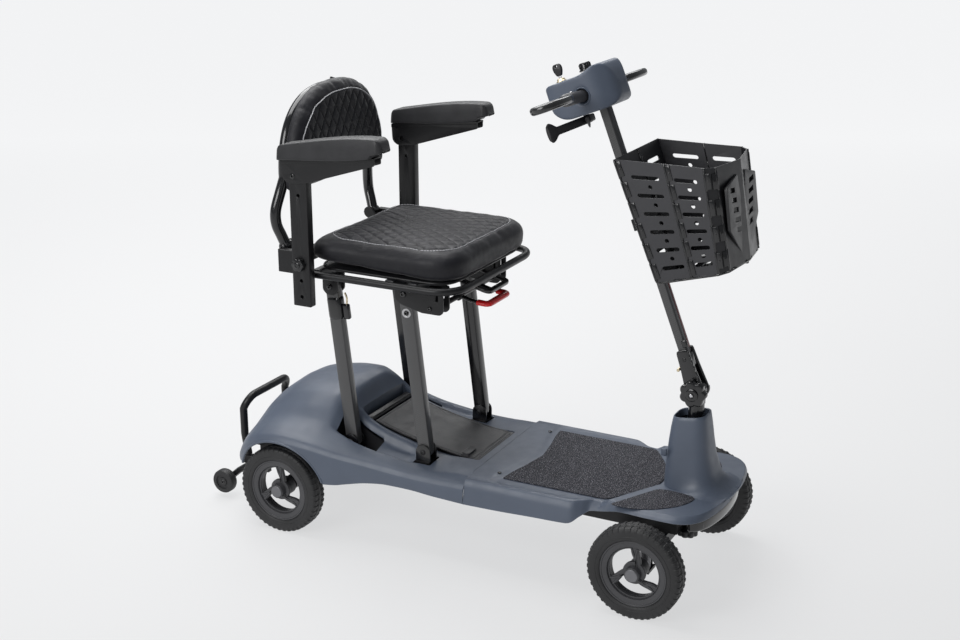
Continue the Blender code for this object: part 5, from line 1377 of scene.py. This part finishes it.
def make_hangers():
    """Plates either side of each leg's top, with the bolts through them."""
    front = [(0.1600, 0.6000), (0.1600, 0.5640), (0.1480, 0.5540), (0.0960, 0.5410),
             (0.0520, 0.5410), (0.0450, 0.5480), (0.0450, 0.6000)]
    rear = [(0.3400, 0.6000), (0.3400, 0.5590), (0.3300, 0.5490), (0.3120, 0.5490),
            (0.3020, 0.5600), (0.3020, 0.6000)]
    slot = [Vector((p.y + 0.0600, p.x + 0.5800)) for p in capsule((0, 0), 0.020, 0.007)]
    plates, bolts = [], []
    for side, _ in SIDES:
        for offset in (-EAR_OFFSET, EAR_OFFSET):
            x = side * LEG_X + offset
            plates.append(plate(rounded(front, 0.005, steps=3), 0.0042,
                                [slot, circle((0.1180, 0.5850), 0.0034)], 0.0008, "X", x))
            plates.append(plate(rounded(rear, 0.005, steps=3), 0.0042, (), 0.0008, "X", x))
        for y, z, r in ((FRONT_FOOT.y + LEG_RISE.y, FRONT_FOOT.z + LEG_RISE.z, 0.0070),
                        (REAR_FOOT.y + LEG_RISE.y, REAR_FOOT.z + LEG_RISE.z, 0.0065),
                        (0.0760, 0.5530, 0.0050)):
            at = (side * (LEG_X + EAR_OFFSET + 0.0021), y, z)
            bolts.append(screw(at, (side, 0, 0), r, 0.0040))
    add("hanger_plates", joined(*plates), "seat", "coat")
    add("hanger_bolts", joined(*bolts), "seat", "gloss")


def make_seat_grip():
    """Fixed flat-bar grip in front of the pan."""
    path = returned(((0.045, 0.088, 0.600), (0.045, 0.030, 0.584), (0.045, -0.009, 0.574)))
    add("seat_grip", sweep(rounded(path, 0.012, False), bar_section(0.0060, 0.0040, 0.6)), "seat", "gloss")


def make_release():
    reach = LEG_X - EAR_OFFSET - 0.0035
    shaft = rod(0.0058, (-reach, 0.060, 0.557), (reach, 0.060, 0.557))
    links = [rod(0.0095, (s * 0.0505 - 0.004, 0.060, 0.557), (s * 0.0505 + 0.004, 0.060, 0.557))
             for s, _ in SIDES]
    add("release_shaft", joined(shaft, *links), "release_lever", "coat", ["release_lever"])
    path = returned(((0.046, 0.060, 0.557), (0.046, 0.028, 0.549), (0.046, -0.0080, 0.5465)))
    line = rounded(path, 0.012, False)
    add("release_arms", sweep(line, oval(0.0052, 0.0040)), "release_lever", "gloss")
    first = line_start(line, 0.012)
    ends = [Vector((s * 0.046, 0.016, 0.5479)) for s in (1, -1)]
    sleeve = [ends[0]] + line[first:len(line) - first] + [ends[1]]
    add("release_handle", sweep(sleeve, oval(0.0088, 0.0062)), "release_lever", "red")


def line_start(line, y):
    """Index of the first point of a loop that lies forward of y."""
    return next(i for i, point in enumerate(line) if point.y < y)


# ---- cushions -----------------------------------------------------------------------------------
CLOTH_FRAMES = 20


def swollen(mesh, voxel, reach, pressure=4.0):
    """Swell a closed shape with cloth pressure. No point moves further than reach."""
    start = modified(mesh, ("REMESH", {"mode": "VOXEL", "voxel_size": voxel}))
    rest = [v.co.copy() for v in start.vertices]
    obj = linked("cloth", start)
    cloth = obj.modifiers.new("cloth", "CLOTH").settings
    cloth.use_pressure = True
    cloth.uniform_pressure_force = pressure
    cloth.effector_weights.gravity = 0.0
    for number in range(1, CLOTH_FRAMES + 1):
        bpy.context.scene.frame_set(number)
    graph = bpy.context.evaluated_depsgraph_get()
    start = bpy.data.meshes.new_from_object(obj.evaluated_get(graph))
    bpy.data.objects.remove(obj)
    bpy.context.scene.frame_set(1)
    for vertex, origin in zip(start.vertices, rest):
        step = vertex.co - origin
        vertex.co = origin + step * min(1.0, reach / max(step.length, 1e-9))
    return modified(start, ("SMOOTH", {"iterations": 6, "factor": 0.5}),
                    ("SUBSURF", {"levels": 1, "render_levels": 1}))


def quilt(u, v, a, b):
    """Depth of diamond quilting at a point: 1 in a seam, 0 on a cushion. a and b are its diagonals."""
    spacing = 1 / math.hypot(1 / a, 1 / b)
    depth = 0.0
    for t in (u / a + v / b, u / a - v / b):
        gap = abs(t - round(t)) * spacing
        depth = max(depth, math.exp(-(gap / 0.0018) ** 2), 0.45 * math.exp(-(gap / 0.0070) ** 2))
    return depth


def inside_box(x, y, low, high, radius):
    """How far a point lies inside a rounded rectangle, negative outside."""
    cx, cy = (low[0] + high[0]) / 2, (low[1] + high[1]) / 2
    qx = abs(x - cx) - (high[0] - low[0]) / 2 + radius
    qy = abs(y - cy) - (high[1] - low[1]) / 2 + radius
    return radius - math.hypot(max(qx, 0), max(qy, 0)) - min(max(qx, qy), 0)


def stitches(path, mesh, direction, length=0.0050, gap=0.0016, radius=0.0008):
    """Thread laid on a mesh along a line, one short capsule for each stitch."""
    tree = surface_of(mesh)
    direction = Vector(direction)
    track = []
    for point in path:
        hit = tree.ray_cast(Vector(point) - direction * 0.08, direction)[0]
        if hit:
            track.append(hit - direction * radius * 0.8)
    marks, travelled = [0.0], 0.0
    for a, b in zip(track, track[1:]):
        travelled += (b - a).length
        marks.append(travelled)

    def at(distance):
        i = max(0, min(len(marks) - 2, next((k for k, m in enumerate(marks) if m > distance), 1) - 1))
        share = (distance - marks[i]) / max(1e-9, marks[i + 1] - marks[i])
        return track[i].lerp(track[i + 1], clamp(share))

    beads = []
    distance = 0.0
    while distance + length < travelled:
        a, b = at(distance), at(distance + length)
        beads.append(sweep([a.lerp(b, t) - direction * 0.0003 * math.sin(math.pi * t)
                            for t in (0, 0.08, 0.5, 0.92, 1)],
                           circle((0, 0), radius, 6), False, direction))
        distance += length + gap
    return joined(*beads)


CUSHION_LOW = (-0.1960, -0.0080)
CUSHION_HIGH = (0.1960, 0.3540)
STITCH_INSET = 0.0320
STITCH_CORNER = 0.062


def cushion_ring(inset, z, rise):
    """A level of the cushion. It thins towards the back by rise."""
    low = (CUSHION_LOW[0] + inset, CUSHION_LOW[1] + inset)
    high = (CUSHION_HIGH[0] - inset, CUSHION_HIGH[1] - inset)
    front, rear = 0.080 - inset * 0.5, 0.040 - inset * 0.5
    line = rounded((((low[0], low[1]), front), ((high[0], low[1]), front), ((high[0], high[1]), rear),
                    ((low[0], high[1]), rear)), 0.05, steps=10)
    return [Vector((p.x, p.y, z + rise * ramp(p.y, 0.0, 0.34))) for p in line]


def make_seat_cushion():
    levels = ((0.012, 0.6235, 0.014), (0.004, 0.6270, 0.012), (0.002, 0.6400, 0.008), (0.002, 0.6580, 0.002),
              (0.006, 0.6680, 0.0), (0.016, 0.6750, 0.0), (0.034, 0.6790, 0.0), (0.060, 0.6810, 0.0))
    pad = swollen(loft([cushion_ring(*level) for level in levels]), 0.0045, 0.0060)
    for vertex in pad.vertices:
        co = vertex.co
        floor = 0.6230 + 0.0135 * ramp(co.y, 0.0, 0.34)
        co.z = max(co.z, floor)
        if co.z < 0.650:
            band = math.exp(-((co.z - 0.6420) / 0.010) ** 2)
            co.x *= 1 - 0.006 * band
            continue
        depth = inside_box(co.x, co.y, CUSHION_LOW, CUSHION_HIGH, STITCH_CORNER + STITCH_INSET)
        crown = 0.0065 * ramp(depth, 0.0, 0.14)
        seam = math.exp(-((depth - STITCH_INSET) / 0.0022) ** 2)
        soft = math.exp(-((depth - STITCH_INSET) / 0.0090) ** 2)
        inner = ramp(depth, STITCH_INSET + 0.001, STITCH_INSET + 0.006)
        wave = math.sin(co.x * 190 + 3 * math.sin(co.y * 60))
        folds = 0.00025 * wave * (1 - inner) * ramp(depth, 0.004, 0.02)
        co.z += crown - 0.0020 * seam - 0.0005 * soft + folds
        co.z -= inner * 0.0042 * quilt(co.x, co.y - 0.010, 0.0290, 0.0450)
    line = box_line([c + STITCH_INSET for c in CUSHION_LOW], [c - STITCH_INSET for c in CUSHION_HIGH],
                    STITCH_CORNER, 12)
    line.append(line[0])
    dense = [a.lerp(b, k / 24) for a, b in zip(line, line[1:]) for k in range(24)]
    thread = stitches([Vector((p.x, p.y, 0.700)) for p in dense], pad, (0, 0, -1))
    cushion = add("seat_pad", pad, "seat", "vinyl", ["seat_cushion"], 80)
    add("seat_stitching", thread, "seat", "thread")


ARCH_Z = 0.800
ARCH_SIZE = (0.1815, 0.1900)
ARCH_POWER = 2.45
ARCH_CROWN = 1.40                 # the border is wider over the top than at the sides
PIPING_INSET = 0.0165


def arch(inset, steps=40):
    """The upper half of the back pad's outline, a little squarer than a circle."""
    points = []
    for i in range(steps + 1):
        a = math.pi * i / steps
        c, s = math.cos(a), math.sin(a)
        size = (abs(c) ** ARCH_POWER + abs(s) ** ARCH_POWER) ** (-1 / ARCH_POWER)
        points.append(Vector(((ARCH_SIZE[0] - inset) * c * size,
                              ARCH_Z + (ARCH_SIZE[1] - ARCH_CROWN * inset) * s * size)))
    return points


def arch_line(inset, drop):
    """The D outline of the back pad, with rounded bottom corners."""
    radius = ARCH_SIZE[0] - inset
    line = arch(inset)
    foot = ARCH_Z - drop
    corners = rounded([tuple(line[-1]), ((-radius, foot), 0.028), ((radius, foot), 0.028), tuple(line[0])],
                      0.02, False, 8)
    return line + corners[1:-1]


def inside_arch(x, z):
    """How far a point lies inside the back pad's outline."""
    if z <= ARCH_Z:
        return min(ARCH_SIZE[0] - abs(x), z - (ARCH_Z - 0.0260))
    low, high = -0.02, 0.13
    for _ in range(12):
        inset = (low + high) / 2
        share = ((abs(x) / (ARCH_SIZE[0] - inset)) ** ARCH_POWER
                 + ((z - ARCH_Z) / (ARCH_SIZE[1] - ARCH_CROWN * inset)) ** ARCH_POWER)
        low, high = (inset, high) if share < 1 else (low, inset)
    return low


def make_back_pad():
    levels = ((0.004, 0.4068), (-0.001, 0.4045), (-0.002, 0.3980), (-0.001, 0.3880), (0.003, 0.3800),
              (0.010, 0.3745), (0.018, 0.3720), (0.034, 0.3710))
    rings = [[Vector((p.x, y, p.y)) for p in arch_line(inset, 0.0240 - inset * 0.5)] for inset, y in levels]
    pad = swollen(loft(rings), 0.0040, 0.0040)
    for vertex in pad.vertices:
        co = vertex.co
        co.y = min(co.y, 0.4075)
        depth = inside_arch(co.x, co.z)
        angle = math.atan2(co.z - ARCH_Z, co.x)
        pleat = math.exp(-((angle * 15 / math.pi - round(angle * 15 / math.pi)) / 0.15) ** 2)
        pleat *= ramp(math.sin(angle), 0.45, 0.80) * ramp(0.400 - co.y, 0.0, 0.012)
        rim = 1 - ramp(depth, PIPING_INSET - 0.004, PIPING_INSET)
        shrink = 1 - 0.009 * pleat * rim
        co.x *= shrink
        co.z = ARCH_Z + (co.z - ARCH_Z) * shrink
        if co.y > 0.386:
            continue
        seam = math.exp(-((depth - PIPING_INSET) / 0.0022) ** 2)
        inner = ramp(depth, PIPING_INSET + 0.001, PIPING_INSET + 0.006)
        co.y += 0.0016 * seam - 0.0035 * ramp(depth, 0.0, 0.12) + inner * 0.0042 * quilt(
            co.x, co.z - ARCH_Z, 0.0300, 0.0460)
    line = arch_line(PIPING_INSET, 0.0240)[:41]
    dense = [a.lerp(b, k / 6) for a, b in zip(line, line[1:]) for k in range(6)]
    tree = surface_of(pad)
    track = [tree.ray_cast(Vector((p.x, 0.300, p.y)), Vector((0, 1, 0)))[0] for p in dense]
    piping = tube([p + Vector((0, -0.0004, 0)) for p in track if p], 0.0012, sides=10, up=(0, 1, 0))
    back = add("back_pad", pad, "backrest", "vinyl", ["backrest_pad"], 80)
    add("back_piping", piping, "backrest", "thread")


def make_back_frame():
    side = [(0.1780, 0.4080, 0.6550), (0.1830, 0.4160, 0.6780), (0.1875, 0.4245, 0.7030),
            (0.1865, 0.4260, 0.7320), (0.1770, 0.4200, 0.7680)]
    half = flowing(side, 8)[:-1] + [Vector((p.x, 0.4140, p.y)) for p in arch(0.0140, 48)[:25]]
    path = half + [Vector((-p.x, p.y, p.z)) for p in reversed(half[:-1])]
    hoop = tube(path, 0.0118, sides=24, up=(0, 1, 0))
    add("back_hoop", hoop, "backrest", "gloss", ["backrest_frame"])
    feet = [lathe([(0.0048, -0.0120), (0.0110, -0.0120), (0.0122, -0.0108), (0.0122, 0.0108),
                   (0.0110, 0.0120), (0.0048, 0.0120)], (s * 0.1780, BACK_AXIS.y, BACK_AXIS.z), (1, 0, 0))
            for s, _ in SIDES]
    tab = block((0.034, 0.005, 0.020), (0.060, 0.4285, 0.9700), 0.002,
                Matrix.Rotation(math.radians(18), 4, "Y"))
    add("back_feet", joined(*feet, tab), "backrest", "gloss")
    bolts = [screw((s * 0.1905, BACK_AXIS.y, BACK_AXIS.z), (s, 0, 0), 0.0075, 0.0045) for s, _ in SIDES]
    add("back_hinge_bolts", joined(*bolts), "seat", "gloss")


ARM_PAD_FRONT, ARM_PAD_REAR = 0.1240, 0.3740
BRACKET_TOP = ((0.3720, 0.8575), (0.1490, 0.8800))   # rear and front of its top edge


def armrest_ring(y, side):
    """A cross-section of the armrest pad: flat top, crisp edges, sides that flare outwards."""
    top = monotone((0.1240, 0.1262, 0.1310, 0.1420, 0.3560, 0.3680, 0.3740),
                   (0.8975, 0.9080, 0.9160, 0.9207, 0.8925, 0.8890, 0.8800), y)
    bottom = monotone((0.1240, 0.1300, 0.1480, 0.1540, 0.3740), (0.8945, 0.8925, 0.8880, 0.8803, 0.8585), y)
    plan = 0.0090 * (1 - math.sqrt(clamp((y - ARM_PAD_FRONT) / 0.012)))
    plan += 0.0040 * (1 - math.sqrt(clamp((ARM_PAD_REAR - y) / 0.006)))
    upper, lower = 0.0218 - plan, 0.0240 - plan
    size = top - bottom
    half = [(0.0, top), (upper - 0.0050, top - 0.0001), (upper - 0.0022, top - 0.0007),
            (upper - 0.0007, top - 0.0020), (upper, top - 0.0042), (mix(upper, lower, 0.5), top - 0.5 * size),
            (mix(upper, lower, 0.9), top - 0.82 * size), (lower, bottom + 0.0022),
            (lower - 0.0004, bottom + 0.0006), (lower - 0.0014, bottom), (lower * 0.5, bottom)]
    ring = half + [(0.0, bottom)] + [(-x, z) for x, z in reversed(half[1:])]
    return [Vector((side * 0.2290 + x, y, z)) for x, z in ring]


def make_armrests():
    for side, label in SIDES:
        x = side * UPRIGHT_X
        holes = [circle((0.3360, z), 0.0036) for z in (0.784, 0.601, 0.566)]
        post = plate(box_line((0.3145, 0.5450), (0.3575, 0.8380), 0.0025, 3), 0.0200, holes, 0.0018, "X", x)
        add("post_" + label, post, "armrest_post_" + label, "coat", ["armrest_post_" + label])
        pin = screw((side * 0.2352, ARM_PIVOT.y, ARM_PIVOT.z), (side, 0, 0), 0.0062, 0.0034)
        washer = rod(0.0050, (side * 0.2140, ARM_PIVOT.y, ARM_PIVOT.z),
                     (side * 0.2362, ARM_PIVOT.y, ARM_PIVOT.z))
        add("post_pin_" + label, joined(pin, washer), "armrest_post_" + label, "gloss")

        body = "armrest_" + label
        cheek = rounded((*BRACKET_TOP, (0.1490, 0.8640), (0.3150, 0.8120), ((0.3560, 0.8080), 0.010),
                         ((0.3700, 0.8180), 0.010)), 0.003, steps=5)
        hole = circle((ARM_PIVOT.y, ARM_PIVOT.z), 0.0054, 24)
        cheeks = [plate(cheek, 0.0030, [hole], 0.0007, "X", x + offset) for offset in (-0.0130, 0.0130)]
        flange = rounded((*BRACKET_TOP, (0.1490, 0.8745), (0.3720, 0.8490)), 0.001, steps=3)
        cheeks += [plate(flange, 0.0014, (), 0.0005, "X", x + offset) for offset in (-0.0148, 0.0148)]
        web = plate(rounded((*BRACKET_TOP, (0.1490, 0.8775), (0.3720, 0.8550)), 0.0006), 0.0260, (), 0.0004,
                    "X", x)
        add("bracket_" + label, joined(*cheeks, web), body, "coat", ["armrest_bracket_" + label])
        ys = [ARM_PAD_FRONT + 0.0180 * (i / 14) ** 1.5 for i in range(15)]
        ys += [0.1460, 0.1480, 0.1500, 0.1520, 0.1540] + [mix(0.1600, 0.3600, i / 22) for i in range(23)]
        ys += [0.3600 + 0.0140 * (i / 8) ** 0.7 for i in range(1, 9)]
        pad = add("arm_pad_" + label, loft([armrest_ring(y, side) for y in ys]), body, "soft",
                  ["armrest_pad_" + label], 50)


# ---- frame pieces -------------------------------------------------------------------------------
def make_rear_handle():
    half = [(0.085, 0.607, 0.1005), (0.085, 0.615, 0.150)]
    half += [(p.x, 0.615 - 0.014 * (p.y - 0.213) / 0.030, p.y) for p in arc((0.055, 0.213), 0.030, 0, 90, 12)]
    add("lift_handle", tube(returned(half), 0.0090, sides=24, up=(0, 1, 0)), "chassis", "coat",
        ["rear_handle"])


def make_bumper():
    half = [(0.0, -0.5388), (0.050, -0.5358), (0.093, -0.5270), (0.119, -0.5135), (0.1285, -0.4960)]
    line = flowing(both_sides([Vector((x, y, 0.1765)) for x, y in half]), 8)
    rings = []
    for i, point in enumerate(line):
        t = abs(i / (len(line) - 1) - 0.5) * 2
        scale = math.sqrt(1 - ramp(t, 0.90, 1.02) * 0.8)
        after, before = line[min(i + 1, len(line) - 1)], line[max(i - 1, 0)]
        side = (after - before).normalized().cross(Vector((0, 0, 1)))
        ring = []
        for a in turns(28):
            c, s = math.cos(a), math.sin(a)
            ring.append(point + side * (0.0058 * scale * signed(c, 0.7))
                        + Vector((0, 0, 0.0130 * scale * signed(s, 0.6))))
        rings.append(ring)
    stays = [block((0.018, 0.0500, 0.014), (side * 0.105, -0.5004, 0.1760), 0.002) for side, _ in SIDES]
    add("bumper_guard", joined(loft(rings), *stays), "chassis", "gloss", ["front_bumper"])


def make_front_fittings():
    """Brass studs under the nose and caps on the kingpins."""
    pieces = [rod(0.0055, (side * 0.060, -0.4980, 0.1600), (side * 0.060, -0.4980, 0.1800))
              for side, _ in SIDES]
    add("nose_studs", joined(*pieces), "chassis", "brass")
    caps = [screw((side * KINGPIN_X, -AXLE_Y, 0.1422), (0, 0, 1), 0.0105, 0.006) for side, _ in SIDES]
    caps += [screw((side * KINGPIN_X, -AXLE_Y, 0.0778), (0, 0, -1), 0.0095, 0.005) for side, _ in SIDES]
    add("kingpin_caps", joined(*caps), "chassis", "steel")


KEPT = {"chassis_frame": "coat", "front_axle_beam": "coat", "transaxle": "satin", "controller_box": "satin",
        "anti_tip_bar": "coat", "steering_column": "gloss", "tie_rod": "coat", "knuckle_left": "alloy",
        "knuckle_right": "alloy", "seat_crossbar": "coat", "basket_bracket": "coat",
        "battery_pack": "satin"}


def finish_kept_nodes():
    """Real edges and finishes on the frame parts that stay as they are."""
    for name, finish in KEPT.items():
        obj = NODES[name]
        obj.data.materials.clear()
        obj.data.materials.append(FINISHES[finish][0])
        weld = obj.modifiers.new("weld", "WELD")
        weld.merge_threshold = 0.00002
        edge = obj.modifiers.new("edge", "BEVEL")
        edge.width = 0.0012
        edge.segments = 2
        edge.limit_method = "ANGLE"
        edge.angle_limit = math.radians(40)


# ---- studio -------------------------------------------------------------------------------------
CAMERA_AT = Vector((-2.7064, -1.3649, 1.4887))
CAMERA_YAW = math.radians(27.35)     # from +X towards +Y
CAMERA_PITCH = math.radians(18.11)   # downwards
CAMERA_ROLL = math.radians(-0.08)
CAMERA_LENS = 55.6


def make_camera():
    camera = linked("camera", bpy.data.cameras.new("camera"))
    camera.data.lens = CAMERA_LENS
    camera.data.sensor_width = 36.0
    aim = Vector((math.cos(CAMERA_YAW) * math.cos(CAMERA_PITCH),
                  math.sin(CAMERA_YAW) * math.cos(CAMERA_PITCH), -math.sin(CAMERA_PITCH)))
    turn = aim.to_track_quat("-Z", "Y").to_matrix().to_4x4() @ Matrix.Rotation(CAMERA_ROLL, 4, "Z")
    camera.matrix_world = Matrix.Translation(CAMERA_AT + SHIFT) @ turn
    bpy.context.scene.camera = camera


def area_light(name, place, target, size, power):
    light = bpy.data.lights.new(name, "AREA")
    light.shape = "RECTANGLE"
    light.size, light.size_y = size
    light.energy = power
    obj = linked(name, light)
    aim = (Vector(target) - Vector(place)).to_track_quat("-Z", "Y").to_matrix().to_4x4()
    obj.matrix_world = Matrix.Translation(place) @ aim


def make_studio():
    scene = bpy.context.scene
    scene.view_settings.view_transform = "Standard"
    world = bpy.data.worlds.new("studio")
    world.use_nodes = True
    backdrop = world.node_tree.nodes["Background"]
    backdrop.inputs["Color"].default_value = (0.92, 0.96, 1.0, 1.0)
    backdrop.inputs["Strength"].default_value = 0.22
    scene.world = world
    corners = [[(-14, -14, 0), (14, -14, 0)], [(-14, 14, 0), (14, 14, 0)]]
    floor = linked("studio_floor", grid(corners))
    material, tree, shader = new_material("studio_floor_painted_light", specular=0.2)
    place = add_node(tree, "TexCoord")
    turn = add_node(tree, "Mapping", Rotation=(0, 0, -CAMERA_YAW), Scale=(0.1, 0.1, 0.1))
    tree.links.new(place.outputs["Object"], turn.inputs["Vector"])
    apart = add_node(tree, "SeparateXYZ")
    tree.links.new(turn.outputs["Vector"], apart.inputs["Vector"])
    # Painted light: the floor glows rather than being lit. The glow rises from 0.58 near the camera to 0.86
    # far from it, standing in for the fall of light across the floor and keeping the shadow under the scooter
    # faint.
    painted_floor_light = spread(tree, apart.outputs["X"], 0.58, 0.86, -0.15, 0.45)
    tree.links.new(painted_floor_light, shader.inputs["Emission Strength"])
    shader.inputs["Emission Color"].default_value = (0.985, 0.99, 1.0, 1.0)
    shader.inputs["Base Color"].default_value = (0.16, 0.16, 0.16, 1.0)
    shader.inputs["Roughness"].default_value = 0.75
    floor.data.materials.append(material)
    area_light("overhead", (0.2, 0.9, 3.0), (0, 0, 0.3), (2.4, 2.4), 84)
    area_light("window", (-3.4, 0.9, 2.2), (0, 0, 0.6), (2.2, 2.0), 78)
    area_light("rim", (2.4, 1.5, 2.6), (0, 0, 0.5), (2.8, 1.2), 32)


make_camera()
make_studio()
make_cowl()
make_floor()
make_mats()
make_shroud()
make_battery()
make_wheels()
make_head()
make_handlebars()
make_throttle()
make_dial()
make_key()
make_mast()
make_knobs()
make_basket()
make_lamp()
make_legs()
make_leg_locks()
make_leg_ears()
make_seat_frame()
make_hangers()
make_seat_grip()
make_release()
make_seat_cushion()
make_back_pad()
make_back_frame()
make_armrests()
make_rear_handle()
make_bumper()
make_front_fittings()
finish_kept_nodes()
